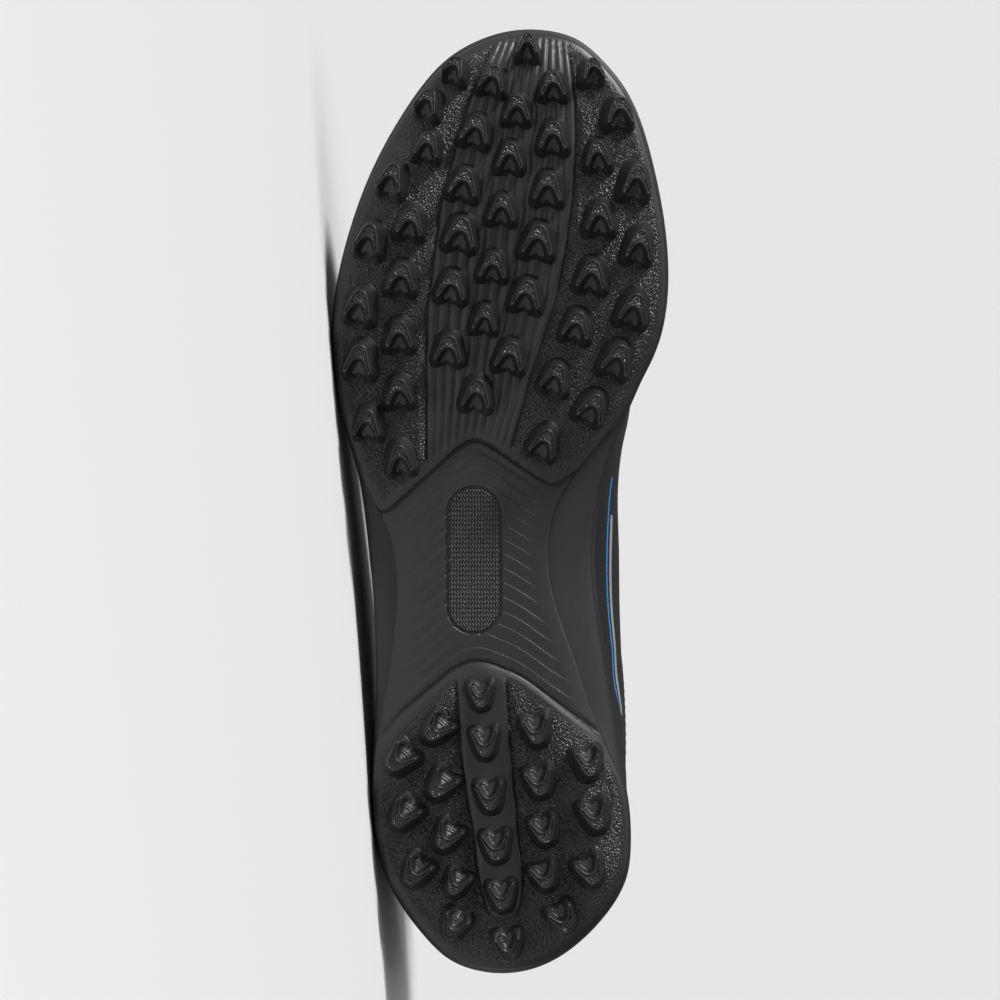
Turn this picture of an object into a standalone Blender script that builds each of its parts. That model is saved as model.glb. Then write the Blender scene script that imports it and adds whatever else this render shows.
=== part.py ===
"""Football turf shoe for the right foot, lying on its lateral side.

The shoe is drawn upright first: X runs from the heel end to the toe end, +Y is the medial side and
Z is the height above the stud tips. The last function turns it on to its side on the floor.
"""

import math

import bmesh
import bpy
import numpy as np
from mathutils import Matrix, Vector
from mathutils.geometry import delaunay_2d_cdt

# Sizes of the whole shoe, in metres.
LENGTH = 0.286
BALL_WIDTH = 0.1017
HEEL_HEIGHT = 0.088
SOLE_HEIGHT = 0.027
# The studs' shares are drawn for a foot whose ball is this share of its length.
FOOT_RATIO = 0.3556

# Sizes of the pieces, in metres.
STUD_HEIGHT = 0.0060
PAD_STEP = 0.0016
STEP_RUN = 0.0006
SHEET = 0.0018
EDGE_RISE = 0.0040
EDGE_REACH = 0.014
FIT_GAP = 0.0003
TONGUE_GAP = 0.0015
UPPER_WALL = 0.0020
COLLAR_PAD = 0.0020
BAND_WIDTH = 0.0150
BAND_STEP = 0.0007
EYELET_BORE = 0.0040
EYELET_INSET = 0.0075
TONGUE_THICK = 0.0030
INSOLE_THICK = 0.0035
LACE_WIDTH = 0.0062
LACE_THICK = 0.0013

# Counts.
COLUMNS = 72
EYELETS = 6

# Outlines seen from below, a row for each section across the foot. The first column is the share
# of LENGTH from the heel end, and the others are shares of BALL_WIDTH from the centre line.
# along, outsole lateral, outsole medial, midsole lateral, midsole medial
OUTLINES = (
    (0.000, -0.003, -0.003, -0.003, -0.003),
    (0.015, -0.160, 0.156, -0.160, 0.156),
    (0.035, -0.222, 0.233, -0.222, 0.233),
    (0.065, -0.289, 0.311, -0.289, 0.311),
    (0.100, -0.345, 0.365, -0.345, 0.365),
    (0.140, -0.377, 0.379, -0.377, 0.379),
    (0.190, -0.389, 0.366, -0.389, 0.369),
    (0.240, -0.377, 0.309, -0.383, 0.349),
    (0.280, -0.358, 0.262, -0.378, 0.331),
    (0.320, -0.339, 0.225, -0.377, 0.312),
    (0.360, -0.325, 0.185, -0.379, 0.295),
    (0.400, -0.317, 0.149, -0.385, 0.279),
    (0.440, -0.326, 0.134, -0.395, 0.272),
    (0.480, -0.359, 0.148, -0.408, 0.278),
    (0.510, -0.402, 0.182, -0.420, 0.291),
    (0.540, -0.436, 0.240, -0.438, 0.313),
    (0.570, -0.462, 0.313, -0.464, 0.343),
    (0.600, -0.486, 0.374, -0.486, 0.377),
    (0.628, -0.498, 0.411, -0.498, 0.411),
    (0.650, -0.505, 0.442, -0.506, 0.442),
    (0.700, -0.505, 0.483, -0.505, 0.483),
    (0.750, -0.482, 0.490, -0.482, 0.490),
    (0.800, -0.443, 0.477, -0.443, 0.477),
    (0.850, -0.389, 0.450, -0.389, 0.450),
    (0.900, -0.315, 0.411, -0.315, 0.411),
    (0.940, -0.240, 0.358, -0.240, 0.358),
    (0.970, -0.160, 0.288, -0.160, 0.288),
    (0.990, -0.061, 0.217, -0.061, 0.217),
    (1.000, 0.081, 0.081, 0.081, 0.081),
)

# Heights along the foot as shares of SOLE_HEIGHT: the pads' underside on the centre line, the rim
# that the upper stands on, and how far the sole's edge is rounded up as a share of EDGE_RISE.
# along, underside, rim, edge
LEVELS = (
    (0.00, 0.360, 1.000, 1.00),
    (0.06, 0.245, 1.000, 1.00),
    (0.12, 0.230, 0.985, 1.00),
    (0.26, 0.230, 0.915, 0.90),
    (0.36, 0.285, 0.850, 0.55),
    (0.45, 0.345, 0.790, 0.45),
    (0.54, 0.270, 0.720, 0.70),
    (0.62, 0.230, 0.680, 1.00),
    (0.72, 0.230, 0.670, 1.00),
    (0.80, 0.262, 0.700, 1.00),
    (0.90, 0.395, 0.810, 1.00),
    (1.00, 0.600, 0.990, 1.00),
)

# Ends of the two pads towards the waist, as points across the foot: the first number is a share of
# LENGTH and the second a share of BALL_WIDTH.
FOREFOOT_PAD_END = (
    (0.515, -0.520), (0.510, -0.418), (0.493, -0.380), (0.489, -0.352), (0.501, -0.310),
    (0.559, -0.130), (0.567, -0.084), (0.563, -0.045), (0.519, 0.140), (0.518, 0.164),
    (0.531, 0.212), (0.545, 0.300), (0.550, 0.520),
)
HEEL_PAD_END = (
    (0.205, -0.520), (0.241, -0.376), (0.273, -0.307), (0.326, -0.128), (0.331, -0.068),
    (0.315, 0.050), (0.283, 0.170), (0.252, 0.290), (0.220, 0.350), (0.175, 0.520),
)

# Stud columns, toe to heel. Shares of LENGTH and of BALL_WIDTH for the centres, then each stud's
# width and length as shares of BALL_WIDTH, and the turn at the two ends of the column. A turn is in
# degrees towards the medial side.
# name, along, across, widths, lengths, turns
FOREFOOT_STUDS = (
    ("middle", (0.976, 0.912, 0.862, 0.807, 0.747, 0.692, 0.613),
     (0.072, 0.042, 0.021, -0.003, -0.030, -0.054, -0.078),
     (0.089, 0.105, 0.108, 0.108, 0.110, 0.100, 0.120),
     (0.098, 0.119, 0.125, 0.123, 0.120, 0.120, 0.136), (2, 6)),
    ("middle lateral", (0.943, 0.890, 0.834, 0.782, 0.726, 0.660),
     (-0.030, -0.081, -0.116, -0.125, -0.152, -0.161),
     (0.109, 0.117, 0.117, 0.127, 0.119, 0.116),
     (0.117, 0.130, 0.131, 0.140, 0.130, 0.127), (13, 6)),
    ("middle medial", (0.937, 0.883, 0.829, 0.774, 0.717, 0.653),
     (0.149, 0.149, 0.134, 0.104, 0.069, 0.021),
     (0.103, 0.116, 0.118, 0.128, 0.119, 0.119),
     (0.114, 0.131, 0.135, 0.144, 0.133, 0.131), (0, 11)),
    ("outer lateral", (0.952, 0.917, 0.838, 0.775, 0.706, 0.649, 0.583),
     (-0.135, -0.214, -0.322, -0.389, -0.418, -0.418, -0.394),
     (0.092, 0.096, 0.104, 0.108, 0.114, 0.116, 0.108),
     (0.096, 0.112, 0.132, 0.136, 0.140, 0.142, 0.130), (24, 4)),
    ("inner lateral", (0.873, 0.793, 0.735, 0.675, 0.615, 0.5455),
     (-0.220, -0.274, -0.301, -0.307, -0.307, -0.304),
     (0.100, 0.110, 0.117, 0.111, 0.110, 0.106),
     (0.120, 0.131, 0.132, 0.129, 0.124, 0.130), (12, -6)),
    ("outer medial", (0.951, 0.908, 0.836, 0.769, 0.703, 0.650, 0.600),
     (0.258, 0.336, 0.386, 0.398, 0.383, 0.334, 0.262),
     (0.091, 0.112, 0.114, 0.110, 0.118, 0.118, 0.112),
     (0.100, 0.126, 0.142, 0.140, 0.142, 0.142, 0.132), (-8, 24)),
    ("inner medial", (0.864, 0.798, 0.738, 0.685, 0.630, 0.5625),
     (0.281, 0.287, 0.263, 0.218, 0.155, 0.122),
     (0.102, 0.115, 0.121, 0.114, 0.112, 0.110),
     (0.123, 0.134, 0.135, 0.127, 0.128, 0.130), (-2, 20)),
)
HEEL_STUDS = (
    ("middle", (0.295, 0.245, 0.189, 0.136, 0.084, 0.033),
     (-0.066, -0.054, -0.039, -0.021, -0.003, 0.014),
     (0.103, 0.110, 0.113, 0.116, 0.112, 0.108),
     (0.116, 0.127, 0.130, 0.128, 0.122, 0.114), (176, 172)),
    ("inner lateral", (0.260, 0.201, 0.1465, 0.0975), (-0.197, -0.185, -0.167, -0.137),
     (0.110, 0.110, 0.108, 0.100), (0.126, 0.126, 0.122, 0.110), (222, 205)),
    ("outer lateral", (0.228, 0.170, 0.110, 0.054), (-0.300, -0.290, -0.254, -0.143),
     (0.112, 0.113, 0.112, 0.108), (0.124, 0.126, 0.124, 0.112), (222, 205)),
    ("inner medial", (0.258, 0.204, 0.153, 0.105), (0.098, 0.107, 0.122, 0.122),
     (0.112, 0.114, 0.110, 0.106), (0.122, 0.122, 0.118, 0.114), (170, 162)),
    ("outer medial", (0.223, 0.168, 0.110, 0.062), (0.247, 0.270, 0.256, 0.176),
     (0.114, 0.116, 0.112, 0.108), (0.126, 0.128, 0.120, 0.116), (170, 150)),
)

# One stud seen from below, its closed end up. Across and along are shares of its width and length,
# and height is a share of STUD_HEIGHT. Each row has its mirror image on the other side.
# ring, across, along, height
STUD_POINTS = (
    ("base", 0.00, 0.50, 0.00),
    ("base", 0.27, 0.35, 0.00),
    ("base", 0.46, 0.04, 0.00),
    ("base", 0.48, -0.27, 0.00),
    ("base", 0.28, -0.48, 0.00),
    ("base", 0.00, -0.41, 0.00),
    ("top", 0.00, 0.35, 1.00),
    ("top", 0.18, 0.23, 1.00),
    ("top", 0.30, 0.01, 1.00),
    ("top", 0.32, -0.21, 1.00),
    ("top", 0.23, -0.37, 1.00),
    ("rim", 0.155, -0.345, 1.00),
    ("rim", 0.170, -0.12, 1.00),
    ("rim", 0.00, 0.10, 1.00),
    ("pocket", 0.095, -0.360, 0.20),
    ("pocket", 0.105, -0.13, 0.42),
    ("pocket", 0.00, 0.02, 0.48),
)

# The upper, a row for each side and section. The foot of a row stands on the rim at the first
# column's share of LENGTH. Its top edge is given by shares of LENGTH, BALL_WIDTH and HEEL_HEIGHT.
# The wall leaves the foot outwards and upwards, and comes into the edge from the side, all as
# shares of HEEL_HEIGHT.
# along, edge along, edge across, edge height, out, up, from ahead, from outside, from below
UPPER_LATERAL = (
    (0.00, 0.024, -0.010, 1.000, 0.030, 0.23, -0.035, 0.00, 0.25),
    (0.05, 0.056, -0.157, 0.972, 0.028, 0.23, -0.010, 0.07, 0.23),
    (0.14, 0.133, -0.270, 0.850, 0.025, 0.19, 0.000, 0.10, 0.17),
    (0.25, 0.231, -0.332, 0.735, 0.030, 0.16, 0.005, 0.062, 0.15),
    (0.36, 0.332, -0.312, 0.915, 0.040, 0.23, 0.015, 0.090, 0.23),
    (0.47, 0.413, -0.180, 1.062, 0.055, 0.28, 0.050, 0.285, 0.15),
    (0.58, 0.486, -0.123, 0.955, 0.045, 0.28, 0.100, 0.300, 0.09),
    (0.69, 0.560, -0.103, 0.841, 0.018, 0.23, 0.160, 0.22, 0.045),
    (0.79, 0.612, -0.088, 0.765, 0.014, 0.22, 0.270, 0.19, 0.03),
    (0.88, 0.644, -0.062, 0.714, 0.012, 0.21, 0.400, 0.13, 0.06),
    (0.95, 0.659, -0.022, 0.688, 0.012, 0.20, 0.510, 0.07, 0.09),
    (1.00, 0.664, 0.030, 0.680, 0.012, 0.19, 0.560, 0.00, 0.105),
)
UPPER_MEDIAL = (
    (0.05, 0.056, 0.147, 0.978, 0.028, 0.23, -0.010, 0.07, 0.23),
    (0.14, 0.133, 0.270, 0.865, 0.020, 0.19, 0.000, 0.10, 0.17),
    (0.25, 0.231, 0.325, 0.755, 0.048, 0.16, 0.010, 0.075, 0.14),
    (0.36, 0.332, 0.310, 0.935, 0.095, 0.22, 0.020, 0.095, 0.20),
    (0.47, 0.413, 0.222, 1.070, 0.155, 0.25, 0.050, 0.190, 0.17),
    (0.58, 0.486, 0.177, 0.962, 0.070, 0.28, 0.100, 0.215, 0.10),
    (0.69, 0.560, 0.162, 0.848, 0.018, 0.24, 0.160, 0.23, 0.045),
    (0.79, 0.612, 0.147, 0.770, 0.014, 0.23, 0.270, 0.22, 0.02),
    (0.88, 0.644, 0.122, 0.717, 0.012, 0.22, 0.400, 0.16, 0.05),
    (0.95, 0.659, 0.083, 0.690, 0.012, 0.20, 0.510, 0.09, 0.085),
)

# The tongue's front lies under the vamp. Each row gives three spots on one side and the middle one
# by the foot of the upper's section that they lie under and the share of its curve.
# side, share, band, share, edge, share, middle share, thickness
TONGUE_FRONT = (
    (0.820, 0.800, 0.900, 0.845, 0.960, 0.880, 0.895, 0.70),
    (0.785, 0.775, 0.845, 0.890, 0.910, 0.990, 1.010, 0.80),
)
# Under the open throat each row lies under one section. The columns are its foot, the share of its
# curve where the tongue's side ends, then the crown and the thickness as shares of TONGUE_THICK.
# along, side, crown, thickness
TONGUE_UNDER = (
    (0.780, 0.760, -0.15, 0.85),
    (0.710, 0.750, 0.40, 0.90),
    (0.620, 0.740, 0.90, 1.00),
    (0.540, 0.790, 1.10, 1.10),
    (0.475, 0.880, 1.20, 1.20),
)
# Above the throat each row gives the middle of the tongue's top surface as shares of LENGTH and
# HEEL_HEIGHT, then its half width as a share of BALL_WIDTH, and how far its sides droop and its
# thickness as shares of HEEL_HEIGHT and TONGUE_THICK.
# along, height, half width, droop, thickness
TONGUE_FREE = (
    (0.392, 1.112, 0.188, 0.105, 1.40),
    (0.366, 1.175, 0.212, 0.105, 1.55),
    (0.342, 1.235, 0.226, 0.098, 1.60),
    (0.327, 1.275, 0.218, 0.085, 1.40),
    (0.319, 1.296, 0.175, 0.055, 1.00),
)


def clear_scene():
    for item in list(bpy.data.objects):
        bpy.data.objects.remove(item, do_unlink=True)


def turn_of(along):
    """Place round half of a loop, from 0 at the heel to 1 at the toe, for a share of its length."""
    return np.arccos(1.0 - 2.0 * np.clip(along, 0.0, 1.0)) / math.pi


def natural_spline(knots, values, at):
    """Cubic through the knots, straight at both ends. Values may have several columns."""
    knots = np.asarray(knots, float)
    values = np.asarray(values, float)
    flat = values.reshape(len(knots), -1)
    count = len(knots)
    gap = np.diff(knots)
    system = np.zeros((count, count))
    right = np.zeros_like(flat)
    system[0, 0] = system[-1, -1] = 1.0
    for i in range(1, count - 1):
        system[i, i - 1:i + 2] = gap[i - 1], 2.0 * (gap[i - 1] + gap[i]), gap[i]
        right[i] = 6.0 * ((flat[i + 1] - flat[i]) / gap[i] - (flat[i] - flat[i - 1]) / gap[i - 1])
    bend = np.linalg.solve(system, right)
    at = np.atleast_1d(np.asarray(at, float))
    cell = np.clip(np.searchsorted(knots, at, side="right") - 1, 0, count - 2)
    width = gap[cell][:, None]
    low = (knots[cell + 1] - at)[:, None]
    high = (at - knots[cell])[:, None]
    result = (bend[cell] * low ** 3 + bend[cell + 1] * high ** 3) / (6.0 * width)
    result += (flat[cell] / width - bend[cell] * width / 6.0) * low
    result += (flat[cell + 1] / width - bend[cell + 1] * width / 6.0) * high
    return result.reshape((len(at),) + values.shape[1:])


def loop_spline(knots, values, at):
    """Smooth closed curve: the knots lie in 0 to 2 and the curve meets itself there."""
    knots = np.asarray(knots, float)
    values = np.asarray(values, float)
    wide = np.concatenate([knots - 2.0, knots, knots + 2.0])
    repeated = np.concatenate([values, values, values])
    return natural_spline(wide, repeated, np.mod(np.asarray(at, float), 2.0))


def side_rows(rows, lateral, medial):
    """Knots and values round the foot, out along the lateral side and back along the medial."""
    knots = [turn_of(row[0]) for row in rows]
    values = [lateral(row) for row in rows]
    for row in reversed(rows[1:-1]):
        knots.append(2.0 - turn_of(row[0]))
        values.append(medial(row))
    return np.array(knots, float), np.array(values, float)


def along_of(turn):
    return (1.0 - np.cos(math.pi * np.asarray(turn, float))) / 2.0


def outline(turn, piece):
    """Points of the outsole's outline (piece 0) or the midsole's (piece 1), seen from above."""
    knots, across = side_rows(OUTLINES, lambda r: r[1 + 2 * piece], lambda r: r[2 + 2 * piece])
    inset = (0.0015, 0.0)[piece]
    along = inset + (LENGTH - 2.0 * inset) * along_of(turn)
    across = loop_spline(knots, across, turn) * BALL_WIDTH
    shrink = 1.0 - 2.0 * (0.0006, 0.0)[piece] / BALL_WIDTH
    return np.column_stack([along, across * shrink])


def inward(points):
    """Unit vectors pointing into a closed loop that runs heel, lateral side, toe, medial side."""
    tangent = np.roll(points, -1, axis=0) - np.roll(points, 1, axis=0)
    normal = np.column_stack([-tangent[:, 1], tangent[:, 0]])
    return normal / np.linalg.norm(normal, axis=1)[:, None]


def level(along, column):
    knots = [row[0] for row in LEVELS]
    values = [row[column] for row in LEVELS]
    return natural_spline(knots, values, np.clip(along, 0.0, 1.0))


def distance_to_loop(points, loop):
    """Distance from each point to a closed polygon, positive inside it."""
    start = loop
    step = np.roll(loop, -1, axis=0) - loop
    away = points[:, None, :] - start[None, :, :]
    share = (away * step).sum(axis=2) / (step * step).sum(axis=1)
    near = away - np.clip(share, 0.0, 1.0)[:, :, None] * step
    distance = np.sqrt((near * near).sum(axis=2)).min(axis=1)
    return np.where(inside_loop(points, loop), distance, -distance)


def inside_loop(points, loop):
    x, y = points[:, 0][:, None], points[:, 1][:, None]
    x1, y1 = loop[:, 0], loop[:, 1]
    x2, y2 = np.roll(x1, -1), np.roll(y1, -1)
    crosses = (y1 > y) != (y2 > y)
    slope = np.where(y2 == y1, 1.0, y2 - y1)
    hit = x < (x2 - x1) * (y - y1) / slope + x1
    return (crosses & hit).sum(axis=1) % 2 == 1


def deck(points, rim):
    """Height of the pads' underside: the long curve of the foot, rounded up near the rim."""
    along = points[:, 0] / LENGTH
    reach = np.clip(1.0 - np.maximum(distance_to_loop(points, rim), 0.0) / EDGE_REACH, 0.0, 1.0)
    rise = EDGE_RISE * level(along, 3) * reach ** 2
    return SOLE_HEIGHT * level(along, 1) + rise


def pad_areas():
    """Closed outlines of the forefoot pad and the heel pad, drawn well past the sole's edge."""
    scale = np.array([LENGTH, BALL_WIDTH])
    front = np.array(FOREFOOT_PAD_END) * scale
    back = np.array(HEEL_PAD_END) * scale
    front = np.vstack([front, [[1.2 * LENGTH, BALL_WIDTH], [1.2 * LENGTH, -BALL_WIDTH]]])
    back = np.vstack([back, [[-0.2 * LENGTH, BALL_WIDTH], [-0.2 * LENGTH, -BALL_WIDTH]]])
    return front, back


def panel_share(points):
    """0 on the pads, 1 on the recessed midfoot panel, rising over STEP_RUN at a pad's end."""
    front, back = pad_areas()
    outside = np.minimum(-distance_to_loop(points, front), -distance_to_loop(points, back))
    return np.clip(outside / STEP_RUN, 0.0, 1.0)


def stud_template():
    """Points, rings and triangles of one stud in shares of its width, length and height."""
    points, rings = [], {}
    for ring in ("base", "top", "rim", "pocket"):
        rows = [row for row in STUD_POINTS if row[0] == ring]
        right = [(row[1], row[2], row[3]) for row in rows]
        left = [(-x, y, z) for x, y, z in right if x > 0.0]
        if ring == "base":
            chain = right + left[::-1]
        elif ring == "top":
            chain = left[::-1] + right
        else:
            chain = right + left[::-1]
        rings[ring] = [len(points) + i for i in range(len(chain))]
        points += chain
    base, top, rim, pocket = (rings[name] for name in ("base", "top", "rim", "pocket"))
    edges = [(base[i], base[(i + 1) % len(base)]) for i in range(len(base))]
    ridge = top + rim
    edges += [(ridge[i], ridge[(i + 1) % len(ridge)]) for i in range(len(ridge))]
    edges += list(zip(pocket, pocket[1:]))
    flat = [Vector((x, y)) for x, y, _ in points]
    result = delaunay_2d_cdt(flat, edges, [], 0, 1e-7)
    spots, _, faces, origins = result[0], result[1], result[2], result[3]
    if len(spots) != len(points):
        raise ValueError("the stud's rings cross")
    order = [origin[0] for origin in origins]
    loop = np.array([points[i][:2] for i in base])
    kept = []
    for face in faces:
        corners = [order[i] for i in face]
        middle = np.mean([points[i][:2] for i in corners], axis=0)
        if inside_loop(middle[None, :], loop)[0]:
            kept.append(corners)
    return np.array(points), base, kept


def stud_places():
    """Plan of each stud: the middle of its base and all the template's points, in metres."""
    template = stud_template()[0]
    scale = np.array([LENGTH * FOOT_RATIO, BALL_WIDTH])
    plans = []
    for rows in (FOREFOOT_STUDS, HEEL_STUDS):
        for _, along, across, widths, lengths, turns in rows:
            angles = np.radians(np.linspace(turns[0], turns[1], len(along)))
            for u, v, width, length, angle in zip(along, across, widths, lengths, angles):
                aside, ahead = template[:, 0] * width, template[:, 1] * length
                spots = np.column_stack([ahead * math.cos(angle) - aside * math.sin(angle),
                                         ahead * math.sin(angle) + aside * math.cos(angle)])
                plans.append(spots * scale + (u * LENGTH, v * BALL_WIDTH))
    return plans


def rim_height(turn):
    return SOLE_HEIGHT * level(along_of(turn), 2)


def ladder(lateral, medial, shares):
    """Grid of points across from one side's points to the other's, the two ends being single."""
    return lateral[:, None, :] * (1.0 - shares[None, :, None]) + medial[:, None, :] * shares[None, :, None]


class Solid:
    """Vertices and faces collected for one closed piece."""

    def __init__(self):
        self.points = []
        self.faces = []

    def add(self, points):
        first = len(self.points)
        self.points += [tuple(point) for point in points]
        return list(range(first, first + len(points)))

    def band(self, low, high, flip=False):
        """Faces between two closed loops of the same count."""
        count = len(low)
        for i in range(count):
            j = (i + 1) % count
            face = (low[i], low[j], high[j], high[i])
            self.faces.append(face[::-1] if flip else face)

    def rungs(self, loop, inner, flip=False):
        """Faces across a closed loop of 2n points, whose inner points run from side to side."""
        half = len(loop) // 2
        rows = [[loop[0]]]
        for i in range(1, half):
            rows.append([loop[i]] + inner[i - 1] + [loop[-i]])
        rows.append([loop[half]])
        for low, high in zip(rows, rows[1:]):
            if len(low) == 1 or len(high) == 1:
                tip = low[0] if len(low) == 1 else high[0]
                wide = high if len(low) == 1 else low
                for a, b in zip(wide, wide[1:]):
                    face = (tip, a, b) if len(low) == 1 else (tip, b, a)
                    self.faces.append(face[::-1] if flip else face)
                continue
            for k in range(len(low) - 1):
                face = (low[k], high[k], high[k + 1], low[k + 1])
                self.faces.append(face[::-1] if flip else face)

    def build(self, name, material):
        mesh = bpy.data.meshes.new(name)
        mesh.from_pydata(self.points, [], self.faces)
        mesh.update()
        work = bmesh.new()
        work.from_mesh(mesh)
        bmesh.ops.remove_doubles(work, verts=work.verts, dist=1e-7)
        bmesh.ops.triangulate(work, faces=work.faces)
        bmesh.ops.recalc_face_normals(work, faces=work.faces)
        if work.calc_volume(signed=True) < 0.0:
            bmesh.ops.reverse_faces(work, faces=work.faces)
        work.to_mesh(mesh)
        work.free()
        body = bpy.data.objects.new(name, mesh)
        bpy.context.scene.collection.objects.link(body)
        mesh.materials.append(material)
        return body


def make_material(name, colour, roughness):
    material = bpy.data.materials.new(name)
    material.use_nodes = True
    shader = material.node_tree.nodes["Principled BSDF"]
    shader.inputs["Base Color"].default_value = (*colour, 1.0)
    shader.inputs["Roughness"].default_value = roughness
    return material


def loop_turns():
    return np.arange(COLUMNS) * 2.0 / COLUMNS


def across_points(solid, loop, shares, height):
    """Inner points of the rungs of a loop, set to a height that depends on the place."""
    half = len(loop) // 2
    inner = []
    for i in range(1, half):
        row = ladder(loop[i:i + 1], loop[-i][None, :], shares)[0]
        inner.append(solid.add(np.column_stack([row, height(row)])))
    return inner


EDGE_SHARES = np.array([0.10, 0.26, 0.50, 0.74, 0.90])
FLAT_SHARES = np.array([0.50])


def make_outsole(material):
    solid = Solid()
    turns = loop_turns()
    rim = outline(turns, 0)

    def underside(points):
        return deck(points, rim) + PAD_STEP * panel_share(points)

    def topside(points):
        return deck(points, rim) + PAD_STEP + SHEET

    template, base, faces = stud_template()
    plan = [tuple(point) for point in rim]
    edges = [(i, (i + 1) % COLUMNS) for i in range(COLUMNS)]
    holes, placed = [], []
    for spots in stud_places():
        ring = [len(plan) + i for i in range(len(base))]
        plan += [tuple(spots[i]) for i in base]
        edges += [(ring[i], ring[(i + 1) % len(ring)]) for i in range(len(ring))]
        holes.append(spots[base])
        placed.append((spots, ring))
    for area in pad_areas():
        count = len(area) - 2
        for shift in (0.0, STEP_RUN):
            first = len(plan)
            line = area[:count]
            lean = inward(area)[:count]
            side = -1.0 if inside_loop((line[4] + lean[4] * 1e-4)[None, :], area)[0] else 1.0
            line = line + lean * side * shift
            plan += [tuple(point) for point in line]
            edges += [(first + i, first + i + 1) for i in range(count - 1)]
    grid = np.array([(x, y) for x in np.arange(0.012, LENGTH, 0.0135)
                     for y in np.arange(-0.5, 0.5, 0.125) * BALL_WIDTH])
    clear = distance_to_loop(grid, rim) > 0.005
    for hole in holes:
        clear &= distance_to_loop(grid, hole) < -0.0028
    front, back = pad_areas()
    for area in (front, back):
        clear &= np.abs(distance_to_loop(grid, area)) > 0.003
    plan += [tuple(point) for point in grid[clear]]
    flat = [Vector(point) for point in plan]
    result = delaunay_2d_cdt(flat, edges, [], 0, 1e-6)
    spots = np.array([tuple(spot) for spot in result[0]])
    place = {}
    for index, origin in enumerate(result[3]):
        for first in origin:
            place[first] = index
    middles = np.array([np.mean(spots[list(face)], axis=0) for face in result[2]])
    keep = inside_loop(middles, rim)
    for hole in holes:
        keep &= ~inside_loop(middles, hole)
    used = sorted({i for face, ok in zip(result[2], keep) if ok for i in face})
    heights = underside(spots[used])
    numbers = dict(zip(used, solid.add(np.column_stack([spots[used], heights]))))
    for face, ok in zip(result[2], keep):
        if ok:
            solid.faces.append(tuple(numbers[i] for i in face))
    for spots_of, ring in placed:
        centre = spots_of.mean(axis=0)
        probe = np.array([centre + (0.002, 0.0), centre - (0.002, 0.0),
                          centre + (0.0, 0.002), centre - (0.0, 0.002)])
        z = underside(probe)
        lean = np.array([(z[0] - z[1]) / 0.004, (z[2] - z[3]) / 0.004])
        ground = underside(spots_of[:len(base)])
        middle = ground.mean()
        rows = template[:, 2]
        moved = spots_of + lean[None, :] * (rows * STUD_HEIGHT)[:, None] * 0.7
        level_z = middle + (spots_of - centre) @ lean
        z = level_z - rows * STUD_HEIGHT
        inner = [i for i in range(len(template)) if i not in base]
        names = {base[k]: numbers[place[ring[k]]] for k in range(len(base))}
        names.update(zip(inner, solid.add(np.column_stack([moved[inner], z[inner]]))))
        for face in faces:
            solid.faces.append(tuple(names[i] for i in face))
    border = boundary_loop(solid)
    low = np.array(solid.points)[border]
    lip = low[:, :2] - inward(low[:, :2] if winds_like(low[:, :2], rim) else low[::-1, :2]) * 0.0006
    top = solid.add(np.column_stack([lip, topside(low[:, :2])]))
    solid.band(border, top)
    fill_top(solid, top, lip, rim, topside)
    return solid.build("outsole", material)


def winds_like(points, other):
    return (signed_area(points) > 0.0) == (signed_area(other) > 0.0)


def signed_area(points):
    following = np.roll(points, -1, axis=0)
    return 0.5 * (points[:, 0] * following[:, 1] - points[:, 1] * following[:, 0]).sum()


def boundary_loop(solid):
    """The one open edge loop of the faces so far, in order, wound like the sole's outline."""
    count = {}
    for face in solid.faces:
        for a, b in zip(face, face[1:] + face[:1]):
            key = (min(a, b), max(a, b))
            count[key] = count.get(key, 0) + 1
    ahead = {}
    for (a, b), times in count.items():
        if times == 1:
            ahead.setdefault(a, []).append(b)
            ahead.setdefault(b, []).append(a)
    start = min(ahead)
    loop, previous = [start], None
    while True:
        step = [i for i in ahead[loop[-1]] if i != previous]
        previous = loop[-1]
        if step[0] == start and len(loop) > 2:
            break
        loop.append(step[0])
    points = np.array(solid.points)[loop][:, :2]
    if not winds_like(points, outline(loop_turns(), 0)):
        loop.reverse()
    return loop


def fill_top(solid, loop, flat, rim, height):
    """A smooth surface over a closed loop, its points on a grid inside it."""
    spots = [tuple(point) for point in flat]
    edges = [(i, (i + 1) % len(loop)) for i in range(len(loop))]
    half = COLUMNS // 2
    inner = []
    for i in range(2, half - 1):
        row = ladder(rim[i:i + 1], rim[-i][None, :], EDGE_SHARES)[0]
        inner += [tuple(point) for point in row]
    result = delaunay_2d_cdt([Vector(p) for p in spots + inner], edges, [], 0, 1e-7)
    points = np.array([tuple(spot) for spot in result[0]])
    names = {}
    for index, origin in enumerate(result[3]):
        if origin and origin[0] < len(loop):
            names[index] = loop[origin[0]]
    rest = [i for i in range(len(points)) if i not in names]
    names.update(zip(rest, solid.add(np.column_stack([points[rest], height(points[rest])]))))
    middles = np.array([np.mean(points[list(face)], axis=0) for face in result[2]])
    for face, ok in zip(result[2], inside_loop(middles, flat)):
        if ok:
            solid.faces.append(tuple(names[i] for i in face))


def foot_loop(turns):
    """Outer edge of the upper where it stands on the midsole's rim."""
    loop = outline(turns, 1)
    points = loop + inward(loop) * 0.0022
    return np.column_stack([points, rim_height(turns)])


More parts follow.
